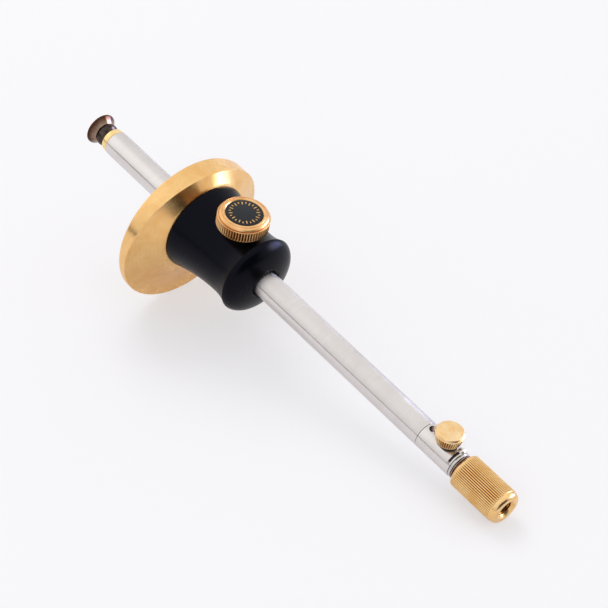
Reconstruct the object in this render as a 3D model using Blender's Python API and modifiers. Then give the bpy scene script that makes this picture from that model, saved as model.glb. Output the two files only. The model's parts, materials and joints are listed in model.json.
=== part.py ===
"""Wheel marking gauge.

A hollow steel beam carries a sliding stock with an off-centre brass fence. A rod inside the beam
carries the cutter wheel in front and is moved by a knurled knob at the tail. A small thumb screw
in a slot of the tail sleeve keys and locks the rod, and a round knob on the stock locks the fence.

The gauge is drawn along its beam first (front of the beam at 0, tail towards +X) and the whole
group is then tipped so that it lies on its fence rim and its tail knob on the plane Z = 0.
All lengths are in millimetres and are turned into metres once. A place along the beam ends in
AT, FRONT or REAR, a radius ends in R, and the other lengths belong to the piece they name.
"""
import math

import bmesh
import bpy
from mathutils import Matrix, Vector

for old in list(bpy.data.objects):
    bpy.data.objects.remove(old, do_unlink=True)

MM = 0.001
FULL = 2.0 * math.pi

# Clearances and small edges shared by all pieces
JOIN_GAP = 0.1
RUNNING_GAP = 0.1
SEAT_GAP = 0.2
SCREW_GAP = 0.15
EDGE = 0.15
OVERCUT = 1.0
MERGE = 0.01

# Beam, a round tube with a wider mouth at each end
BEAM_R = 4.75
BEAM_LENGTH = 164.4
BEAM_BORE_R = 2.8
BEAM_MOUTH_R = 3.85
BEAM_MOUTH_DEPTH = 8.5
BEAM_CHAMFER = 0.2
SPIGOT_SHORT = 0.5

# Brass guide ring in the front mouth of the beam
RING_LENGTH = 2.65
RING_STEP = 0.1
RING_TAPER = 0.35
RING_BEVEL = 0.35
RING_BEVEL_LENGTH = 0.55
RING_REAR = -JOIN_GAP
RING_FRONT = RING_REAR - RING_LENGTH
RING_R = BEAM_R - RING_STEP
RING_SPIGOT_R = BEAM_MOUTH_R - SCREW_GAP

# Tail sleeve with its slot and slit
SLEEVE_LENGTH = 14.85
SLEEVE_CHAMFER = 0.25
SLEEVE_FRONT = BEAM_LENGTH + JOIN_GAP
SLEEVE_REAR = SLEEVE_FRONT + SLEEVE_LENGTH
SLEEVE_SPIGOT_R = BEAM_MOUTH_R - SCREW_GAP
SLOT_SETBACK = 0.8
SLOT_LENGTH = 9.6
SLOT_HALF = 1.35
SLOT_FLOOR = 2.0
SLOT_FRONT = SLEEVE_FRONT + SLOT_SETBACK
SLOT_REAR = SLOT_FRONT + SLOT_LENGTH
SLIT_SETBACK = 0.5
SLIT_WIDTH = 0.9
SLIT_REAR = SLEEVE_REAR - SLIT_SETBACK
SLIT_AT = SLIT_REAR - SLIT_WIDTH / 2.0

# Thumb screw in the slot, over a washer
THUMB_SHANK_R = 1.15
THUMB_SHANK_REACH = 1.1
THUMB_BASE_R = 3.75
THUMB_FLARE = 0.2
THUMB_R = 4.9
THUMB_HEIGHT = 4.5
THUMB_CROWN = 0.85
THUMB_CROWN_R = 1.9
THUMB_SHOULDER = 0.35
THUMB_REST = 0.65
THUMB_TEETH = 38
THUMB_TOOTH = 0.28
THUMB_AT = SLOT_REAR - THUMB_SHANK_R - THUMB_REST
WASHER_R = 3.2
WASHER_THICKNESS = 0.55
WASHER_BOTTOM = BEAM_R + SEAT_GAP
WASHER_TOP = WASHER_BOTTOM + WASHER_THICKNESS
WASHER_BORE_R = THUMB_SHANK_R + SEAT_GAP
THUMB_BOTTOM = WASHER_TOP + SEAT_GAP
THUMB_TOP = THUMB_BOTTOM + THUMB_HEIGHT

# Inner rod, drilled in front for the cutter, cross drilled for the thumb screw, stud at its tail
ROD_PROUD = 0.15
ROD_WALL = 0.5
ROD_R = BEAM_BORE_R - RUNNING_GAP
ROD_FRONT = RING_FRONT - ROD_PROUD
ROD_HOLE_R = THUMB_SHANK_R + RUNNING_GAP
ROD_HOLE_FLOOR = THUMB_SHANK_REACH + SEAT_GAP
ROD_REAR = THUMB_AT + ROD_HOLE_R + ROD_WALL
STUD_R = 1.95
STUD_LENGTH = 19.1
STUD_TIP = 0.4
STUD_REAR = ROD_REAR + STUD_LENGTH

# Screw that clamps the cutter
CUT_SCREW_R = 1.25
CUT_SCREW_REACH = 7.4
CUT_SCREW_RUNOUT = 1.6
CUT_SCREW_HEAD_R = 2.8
CUT_SCREW_HEAD = 1.1
CUT_SCREW_SLOT = 0.6
CUT_SCREW_SLOT_DEPTH = 0.6
CUT_SCREW_REAR = ROD_FRONT + CUT_SCREW_REACH
ROD_TAP_R = CUT_SCREW_R + SCREW_GAP
ROD_TAP_REAR = CUT_SCREW_REAR + CUT_SCREW_RUNOUT

# Collar and cutter wheel, clamped to the front of the rod
COLLAR_R = 4.75
COLLAR_LENGTH = 2.95
COLLAR_FACE = 0.7
COLLAR_TAPER_R = 4.25
COLLAR_NOSE_R = 3.8
COLLAR_NOSE = 0.55
COLLAR_REAR = ROD_FRONT - SEAT_GAP
COLLAR_FRONT = COLLAR_REAR - COLLAR_LENGTH
CUTTER_BORE_R = CUT_SCREW_R + SEAT_GAP
WHEEL_R = 6.0
WHEEL_LENGTH = 3.05
WHEEL_LAND = 0.15
WHEEL_BEVEL = 2.2
WHEEL_BEVEL_R = 5.15
WHEEL_HUB_R = 3.4
WHEEL_HUB = 0.6
WHEEL_REAR = COLLAR_FRONT - SEAT_GAP
WHEEL_FRONT = WHEEL_REAR - WHEEL_LENGTH
WHEEL_DISH_R = CUT_SCREW_HEAD_R + SEAT_GAP
WHEEL_DISH_FLOOR = WHEEL_FRONT + RUNNING_GAP + CUT_SCREW_HEAD + SEAT_GAP

# Fence, a brass disc set off centre, its back turned about the beam
FENCE_FRONT = 40.7
FENCE_R = 28.6
FENCE_OFF = 7.6
FENCE_THICKNESS = 2.5
FENCE_DEPTH = 10.2
FENCE_HUB_R = 17.6
FENCE_HUB_EDGE = 0.3
FENCE_COVE_SHARES = (0.55, 0.96)
FENCE_CHAMFER = 0.5
FENCE_DISH_GAP = 0.8
FENCE_DISH_DEPTH = 3.7
FENCE_BACK = FENCE_FRONT + FENCE_DEPTH
FENCE_BORE_R = BEAM_R + SCREW_GAP
FENCE_DISH_R = WHEEL_R + FENCE_DISH_GAP
FENCE_DISH_FLOOR = FENCE_FRONT + FENCE_DISH_DEPTH
FENCE_RIM_BACK = FENCE_FRONT + FENCE_THICKNESS
FENCE_REACH = FENCE_R + FENCE_OFF
FENCE_BLANK_R = FENCE_REACH + OVERCUT

# Stock, a waisted body with a domed tail end and a spigot for the fence
STOCK_LENGTH = 33.3
STOCK_R = 16.66
STOCK_EDGE = 0.9
STOCK_WAIST = 21.0
STOCK_WAIST_R = 13.5
STOCK_FRONT_SHARE = 0.5
STOCK_FLARE_SHARE = 0.58
STOCK_FLARE_R = 14.85
STOCK_DOME = 5.25
STOCK_DOME_SHARE = 0.85
STOCK_MOUTH_R = 5.75
STOCK_MOUTH = 0.9
STOCK_SPIGOT_R = 9.0
STOCK_SPIGOT = 4.7
STOCK_FRONT = FENCE_BACK + JOIN_GAP
STOCK_REAR = STOCK_FRONT + STOCK_LENGTH
STOCK_BORE_R = BEAM_R + RUNNING_GAP
STOCK_WAIST_AT = STOCK_FRONT + STOCK_WAIST
STOCK_FLARE_AT = STOCK_REAR - STOCK_DOME
STOCK_SPIGOT_FRONT = STOCK_FRONT - STOCK_SPIGOT
FENCE_POCKET_R = STOCK_SPIGOT_R + SCREW_GAP
FENCE_POCKET_FLOOR = STOCK_SPIGOT_FRONT - SEAT_GAP

# Rubber rings in the bore of the stock
ORING_SECTION_R = 0.5
ORING_FRONT_SETBACK = 3.0
ORING_REAR_SETBACK = 4.3
ORING_CENTRE_R = BEAM_R + RUNNING_GAP + ORING_SECTION_R
ORING_GROOVE_R = ORING_CENTRE_R + ORING_SECTION_R + RUNNING_GAP
ORING_GROOVE_HALF = ORING_SECTION_R + SEAT_GAP

# Two countersunk screws from the fence into the stock
FENCE_SCREW_OFF = 12.6
FENCE_SCREW_R = 1.4
FENCE_SCREW_HEAD_R = 2.7
FENCE_SCREW_HEAD = 1.4
FENCE_SCREW_SUNK = 0.25
FENCE_SCREW_REACH = 6.35
FENCE_SCREW_HEX_R = 1.0
FENCE_SCREW_HEX_DEPTH = 0.9
FENCE_SCREW_FRONT = FENCE_FRONT + FENCE_SCREW_SUNK
FENCE_SCREW_REAR = STOCK_FRONT + FENCE_SCREW_REACH
FENCE_SCREW_HOLE_R = FENCE_SCREW_R + SEAT_GAP
FENCE_SCREW_SINK_R = FENCE_SCREW_HEAD_R + SCREW_GAP

# Lock knob on the stock, with its inlay, stud and shoe
LOCK_SETBACK = 17.6
LOCK_R = 9.25
LOCK_HEIGHT = 5.5
LOCK_BASE_BEVEL = 0.7
LOCK_BAND = 2.15
LOCK_GROOVE = 0.35
LOCK_GROOVE_DEPTH = 0.3
LOCK_BEZEL_STEP = 0.1
LOCK_BEZEL_ROUND = 1.25
LOCK_LIP_ROUND = 0.65
LOCK_RECESS_R = 6.7
LOCK_RECESS = 1.3
LOCK_FLOOR = 1.2
LOCK_BOSS_R = 4.4
LOCK_TEETH = 58
LOCK_TOOTH = 0.3
LOCK_AT = STOCK_FRONT + LOCK_SETBACK
INLAY_THICKNESS = 0.75
INLAY_R = LOCK_RECESS_R - SEAT_GAP
LOCK_STUD_R = 2.5
LOCK_HOLE_R = LOCK_STUD_R + RUNNING_GAP
LOCK_SEAT_R = LOCK_STUD_R + SCREW_GAP
SHOE_THICKNESS = 2.35
SHOE_R = LOCK_HOLE_R - RUNNING_GAP
SHOE_BOTTOM = BEAM_R + SEAT_GAP
SHOE_TOP = SHOE_BOTTOM + SHOE_THICKNESS
LOCK_STUD_BOTTOM = SHOE_TOP + SEAT_GAP

# Rings between the sleeve and the tail knob
WAVE_R = 4.55
WAVE_THICKNESS = 0.9
THRUST_FRONT_R = 4.6
THRUST_FRONT_THICKNESS = 0.45
THRUST_REAR_R = 4.35
THRUST_REAR_THICKNESS = 0.5
WAVE_FRONT = SLEEVE_REAR + SEAT_GAP
THRUST_FRONT_AT = WAVE_FRONT + WAVE_THICKNESS + SEAT_GAP
THRUST_REAR_AT = THRUST_FRONT_AT + THRUST_FRONT_THICKNESS + SEAT_GAP
KNOB_FRONT = THRUST_REAR_AT + THRUST_REAR_THICKNESS + SEAT_GAP

# Tail knob, its neck in the sleeve and the key in the slit that holds the neck
KNOB_LENGTH = 19.5
KNOB_R = 6.1
KNOB_FRONT_CHAMFER = 0.55
KNOB_PLAIN = 0.5
KNOB_END_CHAMFER = 1.05
KNOB_END_LENGTH = 2.2
KNOB_SINK_R = 3.6
KNOB_SINK = 1.7
KNOB_TEETH = 53
KNOB_TOOTH = 0.22
KNOB_REAR = KNOB_FRONT + KNOB_LENGTH
KNOB_BAND_FRONT = KNOB_FRONT + KNOB_FRONT_CHAMFER + KNOB_PLAIN
KNOB_BAND_REAR = KNOB_REAR - KNOB_END_LENGTH
KNOB_FACE_R = KNOB_R - KNOB_END_CHAMFER
KNOB_TAP_R = STUD_R + RUNNING_GAP
NECK_START = 1.1
NECK_FRONT = ROD_REAR + NECK_START
NECK_R = BEAM_BORE_R - RUNNING_GAP
NECK_GROOVE_DEPTH = 0.35
NECK_GROOVE_R = NECK_R - NECK_GROOVE_DEPTH
RINGS_BORE_R = NECK_R + SCREW_GAP
KEY_R = 4.1
KEY_BOTTOM = NECK_GROOVE_R + RUNNING_GAP
KEY_HALF = SLIT_WIDTH / 2.0 - SCREW_GAP
SLIT_FLOOR = KEY_BOTTOM - SCREW_GAP
NECK_GROOVE_HALF = KEY_HALF + SEAT_GAP

# Numbers of flats and steps. Each round piece has the middle of a flat underneath
LARGE_SEGMENTS = 80
BODY_SEGMENTS = 52
BEAM_SEGMENTS = 40
SMALL_SEGMENTS = 28
TINY_SEGMENTS = 20
SECTION_SEGMENTS = 8
HEX_SIDES = 6
CURVE_STEPS = 6
ROUND_STEPS = 2

BRASS = (0.80, 0.56, 0.25)
STEEL = (0.72, 0.71, 0.69)
BLACK = (0.012, 0.012, 0.016)
BRONZE = (0.16, 0.11, 0.09)

parts = bpy.data.collections.new("wheel_marking_gauge")
cutters = bpy.data.collections.new("cutters")
bpy.context.scene.collection.children.link(parts)
bpy.context.scene.collection.children.link(cutters)

root = bpy.data.objects.new("gauge_root", None)
parts.objects.link(root)

ALONG_BEAM = (0.0, math.pi / 2.0, 0.0)
UPRIGHT = (0.0, 0.0, 0.0)
ON_AXIS = (0.0, 0.0, 0.0)


def material(name, colour, metallic, rough):
    """One Principled material with the part's own colour."""
    mat = bpy.data.materials.new(name)
    mat.use_nodes = True
    shader = mat.node_tree.nodes["Principled BSDF"]
    shader.inputs["Base Color"].default_value = (colour[0], colour[1], colour[2], 1.0)
    shader.inputs["Metallic"].default_value = metallic
    shader.inputs["Roughness"].default_value = rough
    return mat


def curve(start, corner, end, steps):
    """Points of a quadratic curve that leaves start and reaches end, both heading for corner."""
    points = []
    for step in range(steps + 1):
        t = step / steps
        points.append(tuple(
            a * (1.0 - t) ** 2 + 2.0 * b * t * (1.0 - t) + c * t ** 2
            for a, b, c in zip(start, corner, end)))
    return points


def between(low, high, share):
    """The value that lies that share of the way from low to high."""
    return low + (high - low) * share


def lathe(outline, steps):
    """Turn an outline of (radius, height) points about Z with a Screw modifier, and leave the
    middle of a flat on each axis."""
    turn = sum(a[0] * b[1] - b[0] * a[1] for a, b in zip(outline, outline[1:] + outline[:1]))
    points = outline if turn < 0.0 else outline[::-1]
    edges = [(i, i + 1) for i in range(len(points) - 1)]
    if points[0][0] > 0.0:
        edges.append((len(points) - 1, 0))
    profile = bpy.data.meshes.new("profile")
    profile.from_pydata([(r * MM, 0.0, h * MM) for r, h in points], edges, [])
    guide = bpy.data.objects.new("guide", profile)
    cutters.objects.link(guide)
    screw = guide.modifiers.new("turn", "SCREW")
    screw.steps = steps
    screw.render_steps = steps
    screw.use_merge_vertices = True
    screw.merge_threshold = MERGE * MM
    graph = bpy.context.evaluated_depsgraph_get()
    mesh = bpy.data.meshes.new_from_object(guide.evaluated_get(graph))
    bpy.data.objects.remove(guide, do_unlink=True)
    mesh.transform(Matrix.Rotation(math.pi / steps, 4, "Z"))
    return mesh


def knurl(mesh, teeth, depth, low, high, inside_r):
    """Draw in every second line of points between two heights and outside a radius, which
    leaves straight teeth."""
    for vert in mesh.vertices:
        reach = math.hypot(vert.co.x, vert.co.y)
        if reach <= inside_r * MM or not low <= vert.co.z / MM <= high:
            continue
        line = math.floor(math.atan2(vert.co.y, vert.co.x) / FULL * teeth * 2)
        if line % 2:
            vert.co.x *= 1.0 - depth * MM / reach
            vert.co.y *= 1.0 - depth * MM / reach
    return mesh


def from_bmesh(bm):
    mesh = bpy.data.meshes.new("solid")
    bm.to_mesh(mesh)
    bm.free()
    return mesh


def block(low, high):
    """A box between two corners."""
    low, high = Vector(low) * MM, Vector(high) * MM
    bm = bmesh.new()
    bmesh.ops.create_cube(bm, size=1.0, matrix=Matrix.LocRotScale((low + high) / 2.0, None, high - low))
    return from_bmesh(bm)


def rod_mesh(radius, low, high, steps):
    """A cylinder on Z between two heights."""
    bm = bmesh.new()
    middle = Matrix.Translation((0.0, 0.0, (low + high) / 2.0 * MM))
    bmesh.ops.create_cone(bm, cap_ends=True, segments=steps, radius1=radius * MM,
                          radius2=radius * MM, depth=(high - low) * MM, matrix=middle)
    return from_bmesh(bm)


def place(name, mesh, at, turn, colour, metallic=1.0, rough=0.3):
    """Put a finished mesh in the parts collection at its place along the beam."""
    mesh.name = name
    mesh.materials.clear()
    mesh.materials.append(material(name + "_material", colour, metallic, rough))
    mesh.shade_smooth()
    mesh.set_sharp_from_angle(angle=math.radians(30.0))
    piece = bpy.data.objects.new(name, mesh)
    piece.location = Vector(at) * MM
    piece.rotation_euler = turn
    piece.parent = root
    parts.objects.link(piece)
    return piece


def cut(piece, name, mesh, at, turn, operation="DIFFERENCE"):
    """Cut a piece with a hidden tool."""
    mesh.name = name
    tool = bpy.data.objects.new(name, mesh)
    tool.location = Vector(at) * MM
    tool.rotation_euler = turn
    tool.parent = root
    tool.hide_render = True
    tool.display_type = "WIRE"
    cutters.objects.link(tool)
    change = piece.modifiers.new(name, "BOOLEAN")
    change.operation = operation
    change.solver = "EXACT"
    change.object = tool


def make_beam():
    outline = [
        (BEAM_R - BEAM_CHAMFER, 0.0),
        (BEAM_R, BEAM_CHAMFER),
        (BEAM_R, BEAM_LENGTH - BEAM_CHAMFER),
        (BEAM_R - BEAM_CHAMFER, BEAM_LENGTH),
        (BEAM_MOUTH_R, BEAM_LENGTH),
        (BEAM_MOUTH_R, BEAM_LENGTH - BEAM_MOUTH_DEPTH),
        (BEAM_BORE_R, BEAM_LENGTH - BEAM_MOUTH_DEPTH),
        (BEAM_BORE_R, BEAM_MOUTH_DEPTH),
        (BEAM_MOUTH_R, BEAM_MOUTH_DEPTH),
        (BEAM_MOUTH_R, 0.0),
    ]
    place("beam_tube", lathe(outline, BEAM_SEGMENTS), ON_AXIS, ALONG_BEAM, STEEL)


def make_guide_ring():
    spigot_rear = BEAM_MOUTH_DEPTH - SPIGOT_SHORT
    outline = [
        (BEAM_BORE_R, RING_FRONT),
        (RING_R - RING_TAPER - RING_BEVEL, RING_FRONT),
        (RING_R - RING_TAPER, RING_FRONT + RING_BEVEL_LENGTH),
        (RING_R, RING_REAR - EDGE),
        (RING_R - EDGE, RING_REAR),
        (RING_SPIGOT_R, RING_REAR),
        (RING_SPIGOT_R, spigot_rear),
        (BEAM_BORE_R, spigot_rear),
    ]
    place("guide_ring", lathe(outline, BEAM_SEGMENTS), ON_AXIS, ALONG_BEAM, BRASS)


def make_inner_rod():
    outline = [
        (0.0, ROD_TAP_REAR),
        (ROD_TAP_R, ROD_TAP_REAR),
        (ROD_TAP_R, ROD_FRONT),
        (ROD_R, ROD_FRONT),
        (ROD_R, ROD_REAR),
        (STUD_R, ROD_REAR),
        (STUD_R, STUD_REAR - STUD_TIP),
        (STUD_R - STUD_TIP, STUD_REAR),
        (0.0, STUD_REAR),
    ]
    rod = place("inner_rod", lathe(outline, SMALL_SEGMENTS), ON_AXIS, ALONG_BEAM, STEEL)
    hole = rod_mesh(ROD_HOLE_R, -ROD_HOLE_FLOOR, ROD_R + OVERCUT, TINY_SEGMENTS)
    cut(rod, "rod_cross_hole", hole, (THUMB_AT, 0.0, 0.0), UPRIGHT)


def make_cutter():
    wheel_outline = [
        (CUTTER_BORE_R, WHEEL_DISH_FLOOR),
        (WHEEL_DISH_R, WHEEL_DISH_FLOOR),
        (WHEEL_DISH_R, WHEEL_FRONT),
        (WHEEL_R, WHEEL_FRONT),
        (WHEEL_R, WHEEL_FRONT + WHEEL_LAND),
        (WHEEL_BEVEL_R, WHEEL_FRONT + WHEEL_BEVEL),
        (WHEEL_HUB_R, WHEEL_REAR - WHEEL_HUB),
        (WHEEL_HUB_R, WHEEL_REAR),
        (CUTTER_BORE_R, WHEEL_REAR),
    ]
    place("cutter_wheel", lathe(wheel_outline, BODY_SEGMENTS), ON_AXIS, ALONG_BEAM, BRONZE)
    collar_outline = [
        (CUTTER_BORE_R, COLLAR_FRONT),
        (COLLAR_R - EDGE, COLLAR_FRONT),
        (COLLAR_R, COLLAR_FRONT + COLLAR_FACE),
        (COLLAR_TAPER_R, COLLAR_REAR - COLLAR_NOSE),
        (COLLAR_NOSE_R, COLLAR_REAR),
        (CUTTER_BORE_R, COLLAR_REAR),
    ]
    place("cutter_collar", lathe(collar_outline, SMALL_SEGMENTS), ON_AXIS, ALONG_BEAM, BRONZE)
    head_front = WHEEL_FRONT + RUNNING_GAP
    head_rear = head_front + CUT_SCREW_HEAD
    screw_outline = [
        (0.0, head_front),
        (CUT_SCREW_HEAD_R - EDGE, head_front),
        (CUT_SCREW_HEAD_R, head_front + EDGE),
        (CUT_SCREW_HEAD_R, head_rear),
        (CUT_SCREW_R, head_rear),
        (CUT_SCREW_R, CUT_SCREW_REAR),
        (0.0, CUT_SCREW_REAR),
    ]
    screw = place("cutter_screw", lathe(screw_outline, TINY_SEGMENTS), ON_AXIS, ALONG_BEAM, STEEL)
    half, reach = CUT_SCREW_SLOT / 2.0, CUT_SCREW_HEAD_R + OVERCUT
    slot = block((head_front - OVERCUT, -reach, -half),
                 (head_front + CUT_SCREW_SLOT_DEPTH, reach, half))
    cut(screw, "cutter_screw_slot", slot, ON_AXIS, UPRIGHT)


def waist_curve():
    """The stock's outline from its front edge to its waist, as (radius, place along the beam)."""
    front = (STOCK_R - EDGE, STOCK_FRONT + STOCK_EDGE)
    corner = (STOCK_WAIST_R, between(front[1], STOCK_WAIST_AT, STOCK_FRONT_SHARE))
    return curve(front, corner, (STOCK_WAIST_R, STOCK_WAIST_AT), CURVE_STEPS)


def waist_radius(at):
    """The stock's radius at a place along the beam, in front of its waist."""
    points = waist_curve()
    for (near_r, near), (far_r, far) in zip(points, points[1:]):
        if at <= far:
            return between(near_r, far_r, (at - near) / (far - near))
    return STOCK_WAIST_R


def make_stock():
    flare = (STOCK_FLARE_R, STOCK_FLARE_AT)
    flare_corner = (STOCK_WAIST_R, between(STOCK_WAIST_AT, STOCK_FLARE_AT, STOCK_FLARE_SHARE))
    dome_corner = (STOCK_FLARE_R, between(STOCK_FLARE_AT, STOCK_REAR, STOCK_DOME_SHARE))
    outline = [
        (STOCK_BORE_R, STOCK_REAR - STOCK_MOUTH),
        (STOCK_BORE_R, STOCK_SPIGOT_FRONT),
        (STOCK_SPIGOT_R, STOCK_SPIGOT_FRONT),
        (STOCK_SPIGOT_R, STOCK_FRONT),
        (STOCK_R, STOCK_FRONT),
    ]
    outline += waist_curve()
    outline += curve((STOCK_WAIST_R, STOCK_WAIST_AT), flare_corner, flare, CURVE_STEPS)[1:]
    outline += curve(flare, dome_corner, (STOCK_MOUTH_R, STOCK_REAR), CURVE_STEPS * 2)[1:]
    stock = place("stock_body", lathe(outline, BODY_SEGMENTS), ON_AXIS, ALONG_BEAM, BLACK, 0.3, 0.38)
    for end, at in (("front", STOCK_FRONT + ORING_FRONT_SETBACK),
                    ("rear", STOCK_REAR - ORING_REAR_SETBACK)):
        groove = rod_mesh(ORING_GROOVE_R, at - ORING_GROOVE_HALF, at + ORING_GROOVE_HALF, SMALL_SEGMENTS)
        cut(stock, "stock_groove_" + end, groove, ON_AXIS, ALONG_BEAM)
        section = [
            (ORING_CENTRE_R + ORING_SECTION_R * math.cos(FULL * step / SECTION_SEGMENTS),
             at + ORING_SECTION_R * math.sin(FULL * step / SECTION_SEGMENTS))
            for step in range(SECTION_SEGMENTS)]
        place("stock_oring_" + end, lathe(section, SMALL_SEGMENTS), ON_AXIS, ALONG_BEAM, BLACK, 0.0, 0.7)
    lock_hole = rod_mesh(LOCK_HOLE_R, 0.0, STOCK_R + OVERCUT, SMALL_SEGMENTS)
    cut(stock, "stock_lock_hole", lock_hole, (LOCK_AT, 0.0, 0.0), UPRIGHT)
    return stock


def make_fence():
    cove_start = (FENCE_HUB_R, FENCE_BACK - FENCE_HUB_EDGE)
    cove_end = (FENCE_REACH, FENCE_RIM_BACK)
    cove_corner = (
        between(FENCE_HUB_R, FENCE_REACH, FENCE_COVE_SHARES[0]),
        between(FENCE_BACK - FENCE_HUB_EDGE, FENCE_RIM_BACK, FENCE_COVE_SHARES[1]),
    )
    outline = [
        (FENCE_POCKET_R, FENCE_BACK),
        (FENCE_POCKET_R, FENCE_POCKET_FLOOR),
        (FENCE_BORE_R, FENCE_POCKET_FLOOR),
        (FENCE_BORE_R, FENCE_DISH_FLOOR),
        (FENCE_DISH_R, FENCE_DISH_FLOOR),
        (FENCE_DISH_R, FENCE_FRONT),
        (FENCE_BLANK_R, FENCE_FRONT),
        (FENCE_BLANK_R, FENCE_RIM_BACK),
    ]
    outline += curve(cove_end, cove_corner, cove_start, CURVE_STEPS * 2)
    outline += [(STOCK_R + EDGE, FENCE_BACK)]
    fence = place("fence_disc", lathe(outline, LARGE_SEGMENTS), ON_AXIS, ALONG_BEAM, BRASS)
    rim_outline = [
        (0.0, FENCE_FRONT - OVERCUT),
        (FENCE_R - FENCE_CHAMFER - OVERCUT, FENCE_FRONT - OVERCUT),
        (FENCE_R, FENCE_FRONT + FENCE_CHAMFER),
        (FENCE_R, FENCE_BACK + OVERCUT),
        (0.0, FENCE_BACK + OVERCUT),
    ]
    cut(fence, "fence_rim", lathe(rim_outline, LARGE_SEGMENTS), (0.0, 0.0, -FENCE_OFF), ALONG_BEAM,
        "INTERSECT")
    return fence


def make_fence_screws(fence, stock):
    head_rear = FENCE_SCREW_FRONT + FENCE_SCREW_HEAD
    for side, sign in (("left", -1.0), ("right", 1.0)):
        at = (0.0, sign * FENCE_SCREW_OFF, 0.0)
        stock_hole = rod_mesh(FENCE_SCREW_HOLE_R, STOCK_SPIGOT_FRONT, FENCE_SCREW_REAR + SEAT_GAP,
                              TINY_SEGMENTS)
        cut(stock, "stock_screw_hole_" + side, stock_hole, at, ALONG_BEAM)
        fence_hole = [
            (0.0, FENCE_FRONT - OVERCUT),
            (FENCE_SCREW_SINK_R, FENCE_FRONT - OVERCUT),
            (FENCE_SCREW_SINK_R, FENCE_SCREW_FRONT + EDGE),
            (FENCE_SCREW_HOLE_R, head_rear),
            (FENCE_SCREW_HOLE_R, STOCK_FRONT + OVERCUT),
            (0.0, STOCK_FRONT + OVERCUT),
        ]
        cut(fence, "fence_screw_hole_" + side, lathe(fence_hole, SMALL_SEGMENTS), at, ALONG_BEAM)
        screw_outline = [
            (0.0, FENCE_SCREW_FRONT),
            (FENCE_SCREW_HEAD_R - EDGE, FENCE_SCREW_FRONT),
            (FENCE_SCREW_HEAD_R, FENCE_SCREW_FRONT + EDGE),
            (FENCE_SCREW_R, head_rear + EDGE),
            (FENCE_SCREW_R, FENCE_SCREW_REAR),
            (0.0, FENCE_SCREW_REAR),
        ]
        screw = place("fence_screw_" + side, lathe(screw_outline, TINY_SEGMENTS), at, ALONG_BEAM, STEEL)
        socket = rod_mesh(FENCE_SCREW_HEX_R, FENCE_SCREW_FRONT - OVERCUT,
                          FENCE_SCREW_FRONT + FENCE_SCREW_HEX_DEPTH, HEX_SIDES)
        cut(screw, "fence_screw_socket_" + side, socket, at, ALONG_BEAM)


def make_lock_knob():
    at = (LOCK_AT, 0.0, 0.0)
    base = waist_radius(LOCK_AT - LOCK_R) + SEAT_GAP
    top = base + LOCK_HEIGHT
    band_low = base + LOCK_BASE_BEVEL
    band_high = band_low + LOCK_BAND
    bezel_r = LOCK_R - LOCK_BEZEL_STEP
    bezel_low = band_high + 2.0 * LOCK_GROOVE
    round_low = top - LOCK_BEZEL_ROUND
    recess_floor = top - LOCK_RECESS
    boss_bottom = waist_radius(LOCK_AT - LOCK_BOSS_R) + SEAT_GAP
    seat_top = recess_floor - LOCK_FLOOR
    outline = [
        (0.0, seat_top),
        (LOCK_SEAT_R, seat_top),
        (LOCK_SEAT_R, boss_bottom),
        (LOCK_BOSS_R, boss_bottom),
        (LOCK_BOSS_R, base),
        (LOCK_R - LOCK_BASE_BEVEL, base),
        (LOCK_R - EDGE, band_low - EDGE),
        (LOCK_R, band_low),
        (LOCK_R, band_high),
        (LOCK_R - LOCK_GROOVE_DEPTH, band_high + LOCK_GROOVE),
        (bezel_r, bezel_low),
    ]
    outline += curve((bezel_r, round_low), (bezel_r, top), (bezel_r - LOCK_BEZEL_ROUND, top),
                     ROUND_STEPS)
    lip_r = LOCK_RECESS_R + LOCK_LIP_ROUND
    outline += curve((lip_r, top), (LOCK_RECESS_R, top), (LOCK_RECESS_R, top - LOCK_LIP_ROUND),
                     ROUND_STEPS)
    outline += [(LOCK_RECESS_R, recess_floor), (0.0, recess_floor)]
    mesh = knurl(lathe(outline, LOCK_TEETH * 2), LOCK_TEETH, LOCK_TOOTH, band_low - EDGE / 2.0,
                 band_high + EDGE / 2.0, LOCK_RECESS_R)
    place("lock_knob", mesh, at, UPRIGHT, BRASS)
    inlay_low = recess_floor + SCREW_GAP
    inlay_top = inlay_low + INLAY_THICKNESS
    inlay_outline = [
        (0.0, inlay_low),
        (INLAY_R, inlay_low),
        (INLAY_R, inlay_top - EDGE),
        (INLAY_R - EDGE, inlay_top),
        (0.0, inlay_top),
    ]
    place("lock_knob_inlay", lathe(inlay_outline, SMALL_SEGMENTS), at, UPRIGHT, BLACK, 0.0, 0.4)
    stud_top = seat_top - SEAT_GAP
    stud_outline = [
        (0.0, LOCK_STUD_BOTTOM),
        (LOCK_STUD_R - STUD_TIP, LOCK_STUD_BOTTOM),
        (LOCK_STUD_R, LOCK_STUD_BOTTOM + STUD_TIP),
        (LOCK_STUD_R, stud_top),
        (0.0, stud_top),
    ]
    place("lock_stud", lathe(stud_outline, TINY_SEGMENTS), at, UPRIGHT, STEEL)
    shoe_outline = [
        (0.0, SHOE_BOTTOM),
        (SHOE_R - EDGE, SHOE_BOTTOM),
        (SHOE_R, SHOE_BOTTOM + EDGE),
        (SHOE_R, SHOE_TOP),
        (0.0, SHOE_TOP),
    ]
    place("lock_shoe", lathe(shoe_outline, TINY_SEGMENTS), at, UPRIGHT, BRASS)


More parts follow.
